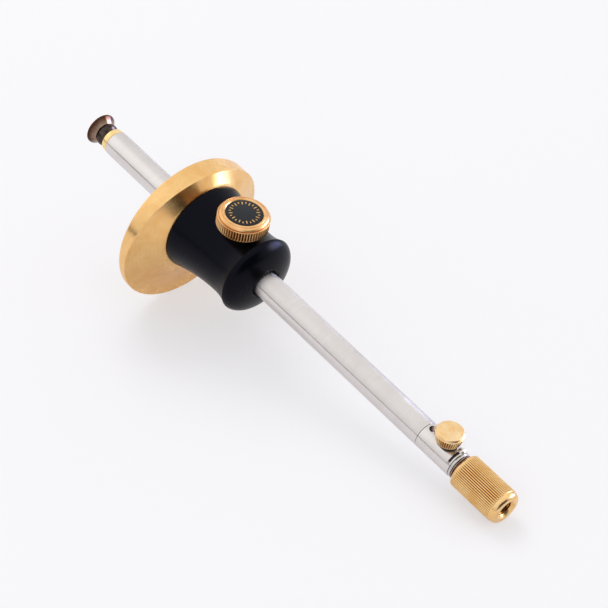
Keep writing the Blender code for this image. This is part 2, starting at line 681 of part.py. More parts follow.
def make_sleeve():
    spigot_front = BEAM_LENGTH - BEAM_MOUTH_DEPTH + SPIGOT_SHORT
    outline = [
        (BEAM_R - BEAM_CHAMFER, SLEEVE_FRONT),
        (BEAM_R, SLEEVE_FRONT + BEAM_CHAMFER),
        (BEAM_R, SLEEVE_REAR - SLEEVE_CHAMFER),
        (BEAM_R - SLEEVE_CHAMFER, SLEEVE_REAR),
        (BEAM_BORE_R, SLEEVE_REAR),
        (BEAM_BORE_R, spigot_front),
        (SLEEVE_SPIGOT_R, spigot_front),
        (SLEEVE_SPIGOT_R, SLEEVE_FRONT),
    ]
    sleeve = place("tail_sleeve", lathe(outline, BEAM_SEGMENTS), ON_AXIS, ALONG_BEAM, STEEL)
    slot = rod_mesh(SLOT_HALF, SLOT_FLOOR, BEAM_R + OVERCUT, TINY_SEGMENTS)
    slot.transform(Matrix.Rotation(math.pi / TINY_SEGMENTS, 4, "Z"))
    for vert in slot.vertices:
        if vert.co.x > 0.0:
            vert.co.x += (SLOT_LENGTH - 2.0 * SLOT_HALF) * MM
    cut(sleeve, "sleeve_slot", slot, (SLOT_FRONT + SLOT_HALF, 0.0, 0.0), UPRIGHT)
    reach = BEAM_R + OVERCUT
    slit = block((SLIT_REAR - SLIT_WIDTH, -reach, SLIT_FLOOR), (SLIT_REAR, reach, reach))
    cut(sleeve, "sleeve_slit", slit, ON_AXIS, UPRIGHT)


def make_thumb_screw():
    at = (THUMB_AT, 0.0, 0.0)
    band_top = THUMB_TOP - THUMB_CROWN - THUMB_SHOULDER
    outline = [
        (0.0, -THUMB_SHANK_REACH),
        (THUMB_SHANK_R, -THUMB_SHANK_REACH),
        (THUMB_SHANK_R, THUMB_BOTTOM),
        (THUMB_BASE_R, THUMB_BOTTOM),
        (THUMB_BASE_R + THUMB_FLARE, THUMB_BOTTOM + THUMB_FLARE),
        (THUMB_R - EDGE, band_top - EDGE),
        (THUMB_R, band_top),
    ]
    crown_low = THUMB_TOP - THUMB_CROWN
    outline += curve((THUMB_R, crown_low), (THUMB_R - EDGE, THUMB_TOP), (THUMB_CROWN_R, THUMB_TOP),
                     ROUND_STEPS)
    outline += [(0.0, THUMB_TOP)]
    mesh = knurl(lathe(outline, THUMB_TEETH * 2), THUMB_TEETH, THUMB_TOOTH,
                 THUMB_BOTTOM + THUMB_FLARE - EDGE / 2.0, band_top - EDGE / 2.0, THUMB_SHANK_R)
    place("thumb_screw", mesh, at, UPRIGHT, BRASS)
    washer_outline = [
        (WASHER_BORE_R, WASHER_BOTTOM),
        (WASHER_R, WASHER_BOTTOM),
        (WASHER_R, WASHER_TOP),
        (WASHER_BORE_R, WASHER_TOP),
    ]
    place("thumb_washer", lathe(washer_outline, SMALL_SEGMENTS), at, UPRIGHT, BLACK, 0.0, 0.5)


def make_tail_knob():
    outline = [
        (NECK_R - EDGE, NECK_FRONT),
        (NECK_R, NECK_FRONT + EDGE),
        (NECK_R, SLIT_AT - NECK_GROOVE_HALF),
        (NECK_GROOVE_R, SLIT_AT - NECK_GROOVE_HALF),
        (NECK_GROOVE_R, SLIT_AT + NECK_GROOVE_HALF),
        (NECK_R, SLIT_AT + NECK_GROOVE_HALF),
        (NECK_R, KNOB_FRONT),
        (KNOB_R - KNOB_FRONT_CHAMFER, KNOB_FRONT),
        (KNOB_R, KNOB_FRONT + KNOB_FRONT_CHAMFER),
        (KNOB_R, KNOB_BAND_FRONT),
        (KNOB_R, KNOB_BAND_FRONT + EDGE),
        (KNOB_R, KNOB_BAND_REAR - EDGE),
        (KNOB_R, KNOB_BAND_REAR),
        (KNOB_FACE_R, KNOB_REAR),
        (KNOB_SINK_R, KNOB_REAR),
        (KNOB_TAP_R, KNOB_REAR - KNOB_SINK),
        (KNOB_TAP_R, NECK_FRONT),
    ]
    mesh = knurl(lathe(outline, KNOB_TEETH * 2), KNOB_TEETH, KNOB_TOOTH,
                 KNOB_BAND_FRONT + EDGE / 2.0, KNOB_BAND_REAR - EDGE / 2.0, KNOB_SINK_R)
    place("adjust_knob", mesh, ON_AXIS, ALONG_BEAM, BRASS)


def make_key():
    """Half-moon key in the slit, dropped into the groove of the neck."""
    disc = rod_mesh(KEY_R, SLIT_AT - KEY_HALF, SLIT_AT + KEY_HALF, SMALL_SEGMENTS)
    key = place("retaining_key", disc, ON_AXIS, ALONG_BEAM, STEEL)
    reach = KEY_R + OVERCUT
    lower = block((SLIT_AT - reach, -reach, -reach), (SLIT_AT + reach, reach, KEY_BOTTOM))
    cut(key, "key_flat", lower, ON_AXIS, UPRIGHT)


def make_ring(name, front, thickness, reach, colour):
    rear = front + thickness
    outline = [
        (RINGS_BORE_R, front),
        (reach - EDGE, front),
        (reach, front + EDGE),
        (reach, rear - EDGE),
        (reach - EDGE, rear),
        (RINGS_BORE_R, rear),
    ]
    place(name, lathe(outline, SMALL_SEGMENTS), ON_AXIS, ALONG_BEAM, colour)


make_beam()
make_guide_ring()
make_inner_rod()
make_cutter()
stock_body = make_stock()
fence_disc = make_fence()
make_fence_screws(fence_disc, stock_body)
make_lock_knob()
make_sleeve()
make_thumb_screw()
make_key()
make_ring("wave_washer", WAVE_FRONT, WAVE_THICKNESS, WAVE_R, STEEL)
make_ring("thrust_ring_front", THRUST_FRONT_AT, THRUST_FRONT_THICKNESS, THRUST_FRONT_R, BRONZE)
make_ring("thrust_ring_rear", THRUST_REAR_AT, THRUST_REAR_THICKNESS, THRUST_REAR_R, BRONZE)
make_tail_knob()

# Tip the gauge so that the fence rim and the knurled band of the knob touch the plane Z = 0
fence_low = FENCE_OFF + FENCE_R * math.cos(math.pi / LARGE_SEGMENTS)
knob_low = KNOB_R * math.cos(math.pi / (KNOB_TEETH * 2))
tilt = math.atan2(fence_low - knob_low, KNOB_BAND_REAR - FENCE_RIM_BACK)
lift = KNOB_BAND_REAR * math.sin(tilt) + knob_low * math.cos(tilt)
root.rotation_euler = (0.0, tilt, 0.0)
root.location = (0.0, 0.0, lift * MM)

# Shift along X so that the middle of the whole group is above the origin
front_end = WHEEL_FRONT * math.cos(tilt) - WHEEL_R * math.sin(tilt)
rear_end = KNOB_REAR * math.cos(tilt) + KNOB_FACE_R * math.sin(tilt)
root.location.x = -(front_end + rear_end) / 2.0 * MM
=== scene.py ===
"""Wheel marking gauge in a pale studio.

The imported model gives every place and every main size. Each visible piece is turned again here
with finer steps, softened edges, real knurls and threads, and a finish that follows its turning
marks. Local places are in millimetres: X runs along the beam from its front end to the tail, Z
towards the lock knob and Y across. A turned piece is drawn upright and then laid along the beam.
"""

import json
import math

import bmesh
import bpy
from mathutils import Matrix, Vector


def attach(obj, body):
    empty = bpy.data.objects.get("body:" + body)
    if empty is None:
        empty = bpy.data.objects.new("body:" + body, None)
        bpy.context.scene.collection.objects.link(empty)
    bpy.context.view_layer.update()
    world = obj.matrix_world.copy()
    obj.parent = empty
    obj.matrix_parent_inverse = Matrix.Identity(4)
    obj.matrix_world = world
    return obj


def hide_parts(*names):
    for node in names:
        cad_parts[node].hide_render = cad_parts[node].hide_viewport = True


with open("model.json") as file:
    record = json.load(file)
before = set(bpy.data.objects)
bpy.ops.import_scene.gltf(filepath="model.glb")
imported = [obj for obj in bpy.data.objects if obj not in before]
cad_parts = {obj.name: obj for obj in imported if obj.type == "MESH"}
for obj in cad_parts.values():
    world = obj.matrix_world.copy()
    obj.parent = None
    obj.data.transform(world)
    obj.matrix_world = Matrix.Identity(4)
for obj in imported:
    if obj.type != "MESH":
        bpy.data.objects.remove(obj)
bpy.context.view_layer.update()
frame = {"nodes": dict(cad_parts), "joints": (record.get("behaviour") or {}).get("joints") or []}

# Units
MM = 0.001
FULL = 2.0 * math.pi

# Smallest edges and gaps
EDGE = 0.12
FINE_EDGE = 0.05
GAP = 0.1
SEAT = 0.2

# Steps round a turned piece, and angles at which an edge is softened or shown sharp
FINE = 256
PLAIN = 160
SMALL = 96
HOLE = 48
PER_TOOTH = 8
CREASE = math.radians(18.0)
SHARP = math.radians(35.0)

# The gauge's own directions, read from its joints
joints = {joint["name"]: joint for joint in frame["joints"]}
ALONG = Vector(joints["tail_knob_turn"]["axis"]).normalized()
UP = Vector(joints["lock_knob_turn"]["axis"]).normalized()
ACROSS = UP.cross(ALONG)
ON_LINE = Vector(joints["tail_knob_turn"]["pos_m"])


def heights(node, direction, start):
    """Lowest and highest place of a node's points along a direction, in millimetres."""
    marks = [(v.co - start).dot(direction) / MM for v in frame["nodes"][node].data.vertices]
    return min(marks), max(marks)


BEAM_START = ON_LINE + ALONG * heights("beam_tube", ALONG, ON_LINE)[0] * MM
LOCAL = Matrix((ALONG, ACROSS, UP)).transposed().to_4x4()
LOCAL.translation = BEAM_START
TO_LOCAL = LOCAL.inverted()
LAID = Matrix.Rotation(math.pi / 2.0, 4, "Y")


def span(node):
    """Front and rear of a node along the beam."""
    return heights(node, ALONG, BEAM_START)


def reach_across(node):
    """Left and right side of a node."""
    return heights(node, ACROSS, BEAM_START)


def rise(node):
    """Lowest and highest place of a node above the beam's line."""
    return heights(node, UP, BEAM_START)


def radius(node, at=None):
    """Greatest distance of a node from the beam's line, or from an upright line at a place."""
    points = [TO_LOCAL @ v.co / MM for v in frame["nodes"][node].data.vertices]
    if at is None:
        return max(math.hypot(p.y, p.z) for p in points)
    return max(math.hypot(p.x - at, p.y) for p in points)


def joint_place(joint):
    """Where an upright joint's line crosses the beam."""
    return (TO_LOCAL @ Vector(joints[joint]["pos_m"])).x / MM


def between(low, high, share):
    return low + (high - low) * share


def curve(start, corner, end, steps=12):
    """Points of a quadratic curve from start to end that heads for corner."""
    return [
        tuple(a * (1.0 - t) ** 2 + 2.0 * b * t * (1.0 - t) + c * t ** 2
              for a, b, c in zip(start, corner, end))
        for t in (step / steps for step in range(steps + 1))]


# Beam and guide ring
BEAM_R = radius("beam_tube")
BEAM_FRONT, BEAM_REAR = span("beam_tube")
BORE_R = 2.8
MOUTH_R = 3.85
MOUTH_DEPTH = 8.5
TUBE_EDGE = 0.18
RING_FRONT = span("guide_ring")[0]
RING_TAPER = 0.3
SPIGOT_REAR = MOUTH_DEPTH - 0.5

# Sleeve, its slot and its slit
SLEEVE_SPIGOT, SLEEVE_REAR = span("tail_sleeve")
SLEEVE_FRONT = BEAM_REAR + GAP
SLOT_FRONT = SLEEVE_FRONT + 0.8
SLOT_HALF = 1.35
SLOT_LENGTH = 9.6
SLOT_FLOOR = 2.0
SLIT_REAR = SLEEVE_REAR - 0.5
SLIT_WIDTH = 0.9
SLIT_FLOOR = rise("retaining_key")[0] - 0.15

# Fence
FENCE_FRONT, FENCE_BACK = span("fence_disc")
FENCE_R = (reach_across("fence_disc")[1] - reach_across("fence_disc")[0]) / 2.0
FENCE_OFF = -sum(rise("fence_disc")) / 2.0
FENCE_REACH = FENCE_R + FENCE_OFF
FENCE_THICKNESS = 2.5
FENCE_BEVEL = 0.6
FENCE_BORE_R = BEAM_R + 0.15
HUB_R = 17.6
HUB_EDGE = 0.3
POCKET_R = 9.15
DISH_R = radius("cutter_wheel") + 0.8
DISH_FLOOR = FENCE_FRONT + 3.7
COVE_START = (HUB_R, FENCE_BACK - HUB_EDGE)
COVE_END = (FENCE_REACH, FENCE_FRONT + FENCE_THICKNESS)
COVE_CORNER = (between(HUB_R, FENCE_REACH, 0.55), between(COVE_START[1], COVE_END[1], 0.96))
COVE = curve(COVE_START, COVE_CORNER, COVE_END, 48)
FENCE_SCREWS = ("fence_screw_left", "fence_screw_right")
FENCE_SCREW_HOLE_R = 1.5
FENCE_SCREW_SINK = 1.5

# Stock
STOCK_SPIGOT, STOCK_REAR = span("stock_body")
STOCK_R = radius("stock_body")
STOCK_FRONT = FENCE_BACK + GAP
STOCK_BORE_R = BEAM_R + GAP
WAIST_R = 13.5
WAIST_AT = STOCK_FRONT + 21.0
FLARE_R = 14.85
FLARE_AT = STOCK_REAR - 5.25
STOCK_MOUTH_R = 5.75
STOCK_SINK = 0.9

# Lock knob
LOCK_AT = joint_place("lock_knob_turn")
LOCK_R = radius("lock_knob", LOCK_AT)
LOCK_BOSS, LOCK_TOP = rise("lock_knob")
LOCK_BOSS_R = 4.4
LOCK_TEETH = 58
LOCK_TOOTH = 0.6
LOCK_BASE = LOCK_TOP - 5.5
LOCK_RIM = LOCK_R - 0.12
STUD_HOLE_R = radius("lock_stud", LOCK_AT) + GAP
BAND_LOW = LOCK_BASE + 0.3
BAND_HIGH = LOCK_TOP - 1.5
BEZEL_R = LOCK_RIM - 0.45
BEZEL_LOW = BAND_HIGH + 0.35
BEZEL_GROOVE = 0.7
CROWN_R = BEZEL_R - 0.95
CROWN_GROOVE = 0.3
LIP = 0.3
INLAY_LOW = rise("lock_knob_inlay")[0]
INLAY_R = radius("lock_knob_inlay", LOCK_AT) - 0.14
INLAY_FACE = LOCK_TOP - 0.12
RECESS_R = INLAY_R + 0.08
TICKS = 24
TICK_IN = 4.1
TICK_OUT = 5.35
TICK_SHORT = 0.5
TICK_WIDTH = 0.34
TICK_PROUD = 0.03

# Thumb screw and its washer
THUMB_AT = joint_place("thumb_screw_turn")
THUMB_R = radius("thumb_screw", THUMB_AT)
THUMB_TOP = rise("thumb_screw")[1]
THUMB_SHANK_R = 1.15
THUMB_TIP = -1.1
THUMB_FOOT_R = 4.3
THUMB_CROWN_R = THUMB_R - 0.4
THUMB_TEETH = 38
THUMB_TOOTH = 0.42
TEETH_HIGH = THUMB_TOP - 1.1
WASHER_LOW, WASHER_TOP = rise("thumb_washer")
WASHER_R = 3.75
THUMB_LOW = WASHER_TOP + SEAT

# Cutter wheel and collar
WHEEL_FRONT, WHEEL_REAR = span("cutter_wheel")
WHEEL_R = radius("cutter_wheel")
CUTTER_BORE_R = 1.45
WHEEL_DISH = 1.4
WHEEL_DISH_R = 3.0
WHEEL_HUB_R = 3.4
COLLAR_FRONT, COLLAR_REAR = span("cutter_collar")
COLLAR_R = radius("cutter_collar")

# Rings and clip between the sleeve and the tail knob
RINGS_BORE_R = 2.9
WAVE_REAR = span("wave_washer")[1]
WAVE_R = radius("wave_washer") + 0.06
EAR_SIZE = (1.35, 1.5, 1.15)
EAR_TURN = math.radians(-20.0)

# Tail knob and its threaded hole
NECK_FRONT, KNOB_REAR = span("adjust_knob")
KNOB_FRONT = span("thrust_ring_rear")[1] + SEAT
KNOB_R = radius("adjust_knob")
KNOB_TEETH = 53
KNOB_TOOTH = 0.28
KNURL_FRONT = KNOB_FRONT + 0.65
KNURL_REAR = KNOB_REAR - 2.1
NECK_R = 2.7
NECK_GROOVE_R = 2.35
NECK_BORE_R = 2.1
FACE_R = 4.4
SINK_R = 3.7
SINK = 0.9
TAP_R = 2.6
THREAD_PITCH = 0.7
THREAD_DEPTH = 0.3
THREAD_ROWS = 60
THREAD_REAR = KNOB_REAR - SINK - 0.15
THREAD_FRONT = THREAD_REAR - 7.0

# Rod
ROD_FRONT, ROD_REAR = span("inner_rod")
ROD_R = 2.7
ROD_SHOULDER = THUMB_AT + 1.75
ROD_STUD_R = 1.95
ROD_TAP_R = 1.35
ROD_TAP_REAR = span("cutter_screw")[1] + 1.6


# Node helpers


def colour(code):
    """Linear colour of an sRGB hex value."""
    parts = [int(code[i:i + 2], 16) / 255.0 for i in (1, 3, 5)]
    return tuple(c / 12.92 if c <= 0.04045 else ((c + 0.055) / 1.055) ** 2.4 for c in parts) + (1.0,)


def add(mat, kind, inputs=None, **settings):
    """Add a node with its settings, its values and its links."""
    made = mat.node_tree.nodes.new(kind)
    for name, value in settings.items():
        setattr(made, name, value)
    for name, value in (inputs or {}).items():
        if isinstance(value, bpy.types.NodeSocket):
            mat.node_tree.links.new(value, made.inputs[name])
        else:
            made.inputs[name].default_value = value
    return made


def two_tones(mat, pattern, low, high, dark, light):
    """Colour that goes from dark to light as a pattern goes from low to high."""
    share = add(mat, "ShaderNodeMapRange", {"Value": pattern, "From Min": low, "From Max": high})
    return add(mat, "ShaderNodeMix", {6: colour(dark), 7: colour(light), "Factor": share.outputs[0]},
               data_type="RGBA").outputs[2]


def start_finish(name, metallic, rough, **values):
    """A new material and its shader."""
    mat = bpy.data.materials.new(name)
    mat.use_nodes = True
    shader = mat.node_tree.nodes["Principled BSDF"]
    shader.inputs["Metallic"].default_value = metallic
    shader.inputs["Roughness"].default_value = rough
    for key, value in values.items():
        shader.inputs[key.replace("_", " ")].default_value = value
    return mat, shader


def turning_place(mat, at=None):
    """Distance from the turning line, place along it, and both as a point, in millimetres."""
    if at is None:
        turn_back = LAID.inverted() @ TO_LOCAL
    else:
        turn_back = Matrix.Translation((-at * MM, 0.0, 0.0)) @ TO_LOCAL
    place = add(mat, "ShaderNodeTexCoord").outputs["Object"]
    turned = add(mat, "ShaderNodeMapping", {
        "Vector": place, "Location": turn_back.translation / MM, "Rotation": turn_back.to_euler(),
        "Scale": (1.0 / MM, 1.0 / MM, 1.0 / MM)}).outputs["Vector"]
    flat = add(mat, "ShaderNodeVectorMath", {0: turned, 1: (1.0, 1.0, 0.0)}, operation="MULTIPLY")
    reach = add(mat, "ShaderNodeVectorMath", {0: flat.outputs[0]}, operation="LENGTH").outputs["Value"]
    height = add(mat, "ShaderNodeSeparateXYZ", {"Vector": turned}).outputs["Z"]
    return reach, height, turned


def turned_metal(name, light, dark, rough, groove, depth, patch, at=None, grain=0.6, valley_shade=None,
                 streaks=0.2):
    """Metal with fine turning marks round its line and a faint cloudy stain.

    groove is the spacing of the marks, depth their height and patch the size of the stains, in
    millimetres. Real marks lie 0.05 mm apart or less, too fine for this distance, so they are drawn
    coarser. grain is how far they draw out a highlight. The valley colour is painted shade, laid
    between teeth and in a thread where shade falls."""
    mat, shader = start_finish(name, 1.0, rough)
    reach, height, turned = turning_place(mat, at)
    rings = add(mat, "ShaderNodeCombineXYZ", {"X": reach, "Y": height})
    marks = add(mat, "ShaderNodeTexNoise", {
        "Vector": rings.outputs[0], "Scale": 1.0 / groove, "Detail": 3.0, "Roughness": 0.6})
    clouds = add(mat, "ShaderNodeTexNoise", {
        "Vector": turned, "Scale": 1.0 / patch, "Detail": 5.0, "Roughness": 0.6, "Distortion": 0.4})
    tone = add(mat, "ShaderNodeMix", {
        "Factor": streaks, "A": clouds.outputs["Fac"], "B": marks.outputs["Fac"]}, data_type="FLOAT")
    mixed = two_tones(mat, tone.outputs[0], 0.34, 0.62, dark, light)
    # Painted shade: points are darkened towards the valley colour by how deep they lie between teeth and in a hole.
    if valley_shade:
        low = add(mat, "ShaderNodeAttribute", attribute_name="valley_shade")
        mixed = add(mat, "ShaderNodeMix", {6: mixed, 7: colour(valley_shade), "Factor": low.outputs["Fac"]},
                    data_type="RGBA").outputs[2]
    mat.node_tree.links.new(mixed, shader.inputs["Base Color"])
    rough_map = add(mat, "ShaderNodeMapRange", {
        "Value": clouds.outputs["Fac"], "From Min": 0.3, "From Max": 0.7,
        "To Min": rough * 0.8, "To Max": rough * 1.2})
    mat.node_tree.links.new(rough_map.outputs[0], shader.inputs["Roughness"])
    bump = add(mat, "ShaderNodeBump", {
        "Height": marks.outputs["Fac"], "Strength": 1.0, "Distance": depth * MM})
    mat.node_tree.links.new(bump.outputs[0], shader.inputs["Normal"])
    if grain:
        shader.inputs["Anisotropic"].default_value = grain
        shader.inputs["Anisotropic Rotation"].default_value = 0.25
        tangent = add(mat, "ShaderNodeTangent", direction_type="UV_MAP", uv_map="grain")
        mat.node_tree.links.new(tangent.outputs[0], shader.inputs["Tangent"])
    return mat


def mottled(name, light, dark, rough, patch, metallic=0.0, **values):
    """A finish without turning marks, whose tone and gloss drift a little over patches of a size."""
    mat, shader = start_finish(name, metallic, rough, **values)
    place = add(mat, "ShaderNodeTexCoord").outputs["Object"]
    clouds = add(mat, "ShaderNodeTexNoise", {"Vector": place, "Scale": 1.0 / (patch * MM), "Detail": 3.0})
    mixed = two_tones(mat, clouds.outputs["Fac"], 0.35, 0.65, dark, light)
    mat.node_tree.links.new(mixed, shader.inputs["Base Color"])
    rough_map = add(mat, "ShaderNodeMapRange", {
        "Value": clouds.outputs["Fac"], "From Min": 0.3, "From Max": 0.7,
        "To Min": rough * 0.85, "To Max": rough * 1.15})
    mat.node_tree.links.new(rough_map.outputs[0], shader.inputs["Roughness"])
    return mat


# Finishes


def ground_steel():
    """Mild steel ground round its line: light runs along it in soft bands. The grinding marks are
    about 0.02 mm apart, too fine to show, and are drawn 0.35 mm apart."""
    return turned_metal("ground_steel", "#DFDAD7", "#D4CECB", 0.24, 0.35, 0.0006, 14.0, grain=0.8, streaks=0.3)


def ring_brass():
    """Yellow brass turned fine and left bright: a warm band that mirrors the pale room."""
    return turned_metal("turned_yellow_brass", "#FCE6AC", "#F4CC80", 0.22, 0.3, 0.004, 3.0, grain=0.5)


def fence_brass():
    """Brass faced on a lathe and rubbed satin: a dark and a bright fan run out from its middle, and
    handling leaves faint clouds. The facing marks are drawn 0.5 mm apart, coarser than real ones."""
    return turned_metal("satin_faced_brass", "#F5CB8C", "#E8B26E", 0.25, 0.5, 0.003, 8.0, grain=0.85, streaks=0.25)


def lock_brass():
    """Redder brass, knurled and polished on its bezel, with painted shade darkening the valleys between the teeth."""
    return turned_metal("knurled_red_brass", "#F4C68E", "#E0A664", 0.32, 0.35, 0.003, 4.0, at=LOCK_AT,
                        valley_shade="#2E1206")


def thumb_brass():
    """Yellow brass, with painted shade browning the valleys between its teeth."""
    return turned_metal("knurled_yellow_brass", "#F9DDAE", "#EDBE7E", 0.3, 0.3, 0.003, 4.0, at=THUMB_AT,
                        grain=0.4, valley_shade="#845C26")


def knob_brass():
    """Brass with a fine straight knurl, with painted shade browning the valleys between the teeth and the inside of the
    threaded hole.
    """
    return turned_metal("fine_knurled_brass", "#F8D398", "#EBB872", 0.25, 0.4, 0.002, 5.0, grain=0.3,
                        valley_shade="#9A6830")


def tempered_steel():
    """Hardened tool steel let down by heat: straw near its hub, brown at its edge, and glossy."""
    mat = turned_metal("tempered_tool_steel", "#A8927F", "#7E6250", 0.15, 0.25, 0.002, 2.2, grain=0.5)
    colour_in = mat.node_tree.nodes["Principled BSDF"].inputs["Base Color"]
    edge = add(mat, "ShaderNodeMapRange", {"Value": turning_place(mat)[0], "From Min": 4.0, "From Max": 5.7})
    brown = add(mat, "ShaderNodeMix", {6: colour_in.links[0].from_socket, 7: colour("#4C3022"),
                                       "Factor": edge.outputs[0]}, data_type="RGBA")
    mat.node_tree.links.new(brown.outputs[2], colour_in)
    return mat


def oxide_steel():
    """Black oxide over polished steel: near black, with small sharp highlights."""
    return turned_metal("black_oxide_steel", "#5A4E4A", "#2C2422", 0.14, 0.25, 0.002, 2.0, grain=0.5)


def spring_steel():
    """Bright spring strip, a little dulled by oil."""
    return turned_metal("bright_spring_steel", "#D8D5D3", "#B8B2AE", 0.3, 0.2, 0.002, 3.0, grain=0.3)


def clip_steel():
    """Barrelled wire, smooth and pale."""
    return turned_metal("barrelled_clip_steel", "#E9E7E6", "#D0CDCB", 0.34, 0.2, 0.001, 3.0, grain=0.0)


def dark_bronze():
    """Oil-soaked bronze rings, brown with a dull shine."""
    return turned_metal("oiled_bronze", "#A88E80", "#6E5446", 0.32, 0.2, 0.003, 2.0, grain=0.4)


def drawn_steel():
    """Drawn steel of the screws, grey and plain."""
    return turned_metal("drawn_steel", "#CFCAC7", "#A8A29E", 0.3, 0.3, 0.002, 2.0, grain=0.0)


def shaded_key_steel():
    """Key steel coloured near black as painted shade, so the slit above it reads as a dark line."""
    return turned_metal("key_steel_painted_dark", "#5A4E4A", "#2C2422", 0.3, 0.25, 0.002, 2.0, grain=0.0)


def shoe_brass():
    """Brass rod, parted off."""
    return turned_metal("parted_brass_rod", "#E8BE7C", "#C4914E", 0.3, 0.3, 0.002, 2.0, grain=0.0)


def anodised_black():
    """Aluminium, bead blasted and anodised black: hardly a colour of its own, only a cool soft
    sheen. The blasted grain is about 0.05 mm, too fine to show, and is drawn 0.45 mm. The dye takes
    unevenly over patches of 8 mm."""
    mat, shader = start_finish("black_anodised_aluminium", 0.0, 0.26, Specular_IOR_Level=0.11,
                               Specular_Tint=colour("#D8D8FF"))
    reach, height, turned = turning_place(mat)
    rings = add(mat, "ShaderNodeCombineXYZ", {"X": reach, "Y": height})
    marks = add(mat, "ShaderNodeTexNoise", {"Vector": rings.outputs[0], "Scale": 1.0 / 0.45, "Detail": 2.0})
    clouds = add(mat, "ShaderNodeTexNoise", {"Vector": turned, "Scale": 1.0 / 8.0, "Detail": 4.0})
    tone = two_tones(mat, clouds.outputs["Fac"], 0.3, 0.7, "#030406", "#050609")
    mat.node_tree.links.new(tone, shader.inputs["Base Color"])
    rough_map = add(mat, "ShaderNodeMapRange", {
        "Value": clouds.outputs["Fac"], "From Min": 0.3, "From Max": 0.7, "To Min": 0.22, "To Max": 0.3})
    mat.node_tree.links.new(rough_map.outputs[0], shader.inputs["Roughness"])
    bump = add(mat, "ShaderNodeBump", {"Height": marks.outputs["Fac"], "Strength": 1.0, "Distance": 0.006 * MM})
    mat.node_tree.links.new(bump.outputs[0], shader.inputs["Normal"])
    return mat


def enamel_black():
    """Baked enamel on the disc: dark grey, with a low gloss that is uneven over about 1 mm."""
    return mottled("black_enamel", "#181A1F", "#14161B", 0.42, 1.1, Specular_IOR_Level=0.3)


def gilt():
    """Gilt paint in the marks, its flakes gathered over half a millimetre."""
    return mottled("gilt_paint", "#EABB76", "#E0AE66", 0.35, 0.5, metallic=1.0)


def nylon_black():
    """Moulded nylon: matt black, with flow marks 1.5 mm across."""
    return mottled("black_nylon", "#0E0E0F", "#0A0A0B", 0.5, 1.5)


def nitrile():
    """Moulded nitrile rubber: dull black, bloomed in patches of 1 mm."""
    return mottled("nitrile_rubber", "#131313", "#0E0E0E", 0.7, 1.0)


def felt():
    """Dark wool felt on the studio's cards: it takes light away and shines nowhere."""
    return mottled("dark_felt", "#3A3836", "#343230", 1.0, 20.0, Specular_IOR_Level=0.0)


def paper():
    """White paper sweep, lit a little from behind so that it stays pale round its shadows."""
    mat, shader = start_finish("white_paper_sweep", 0.0, 0.9, Specular_IOR_Level=0.1,
                               Base_Color=colour("#F4F2F6"))
    glow = add(mat, "ShaderNodeEmission", {"Color": colour("#F5F5F6"), "Strength": 1.0})
    rays = add(mat, "ShaderNodeLightPath")
    mirrored = add(mat, "ShaderNodeMath", {
        0: rays.outputs["Is Glossy Ray"], 1: rays.outputs["Is Transmission Ray"]}, operation="MAXIMUM")
    mirrored = add(mat, "ShaderNodeMath", {0: mirrored.outputs[0], 1: 0.3}, operation="MULTIPLY")
    share = add(mat, "ShaderNodeMath", {
        0: rays.outputs["Is Camera Ray"], 1: 0.55, 2: mirrored.outputs[0]}, operation="MULTIPLY_ADD")
    blend = add(mat, "ShaderNodeMixShader", {0: share.outputs[0], 1: shader.outputs[0], 2: glow.outputs[0]})
    mat.node_tree.links.new(blend.outputs[0], mat.node_tree.nodes["Material Output"].inputs["Surface"])
    return mat


# Shaping helpers


def to_object(bm, name):
    """Close a bmesh into a new object."""
    mesh = bpy.data.meshes.new(name)
    bm.to_mesh(mesh)
    bm.free()
    made = bpy.data.objects.new(name, mesh)
    bpy.context.scene.collection.objects.link(made)
    return made


def lay_grain(bm):
    """UV map that runs round the turning line, so that a finish can follow the turning marks."""
    grain = bm.loops.layers.uv.new("grain")
    for face in bm.faces:
        flat = abs(face.normal.z) > 0.7
        angles = [math.atan2(loop.vert.co.y, loop.vert.co.x) / FULL for loop in face.loops]
        wraps = max(angles) - min(angles) > 0.5
        for loop, angle in zip(face.loops, angles):
            co = loop.vert.co
            across = math.hypot(co.x, co.y) if flat else co.z
            loop[grain].uv = (angle + 1.0 if wraps and angle < 0.0 else angle, across / (10.0 * MM))


def spun(outline, steps):
    """Closed shape of an outline of (radius, place) points turned about an upright line. An
    outline that starts off its line is a ring."""
    bm = bmesh.new()
    corners = [bm.verts.new((r * MM, 0.0, h * MM)) for r, h in outline]
    edges = [bm.edges.new(pair) for pair in zip(corners, corners[1:])]
    if outline[0][0] > 0.0:
        edges.append(bm.edges.new((corners[-1], corners[0])))
    bmesh.ops.spin(bm, geom=corners + edges, cent=(0.0, 0.0, 0.0), axis=(0.0, 0.0, 1.0),
                   dvec=(0.0, 0.0, 0.0), angle=FULL, steps=steps, use_merge=True,
                   use_normal_flip=False, use_duplicate=False)
    bmesh.ops.remove_doubles(bm, verts=bm.verts[:], dist=0.001 * MM)
    bmesh.ops.recalc_face_normals(bm, faces=bm.faces[:])
    return bm


def turn(name, outline, steps, at=None, shape=None, soft=EDGE):
    """Turn an outline about the beam's line, or about an upright line at a place, and soften its
    edges. shape moves the finished points."""
    bm = spun(outline, steps)
    creases = [e for e in bm.edges if len(e.link_faces) == 2 and e.calc_face_angle(0.0) > CREASE]
    bmesh.ops.bevel(bm, geom=creases, offset=soft * MM, offset_type="OFFSET", segments=2,
                    profile=0.5, affect="EDGES", clamp_overlap=True, material=-1)
    bmesh.ops.remove_doubles(bm, verts=bm.verts[:], dist=0.002 * MM)
    bmesh.ops.dissolve_degenerate(bm, edges=bm.edges[:], dist=0.001 * MM)
    if shape:
        shape(bm)
    lay_grain(bm)
    bm.transform(LOCAL @ LAID if at is None else LOCAL @ Matrix.Translation((at * MM, 0.0, 0.0)))
    piece = to_object(bm, name)
    piece.data.shade_smooth()
    piece.data.set_sharp_from_angle(angle=SHARP)
    return piece


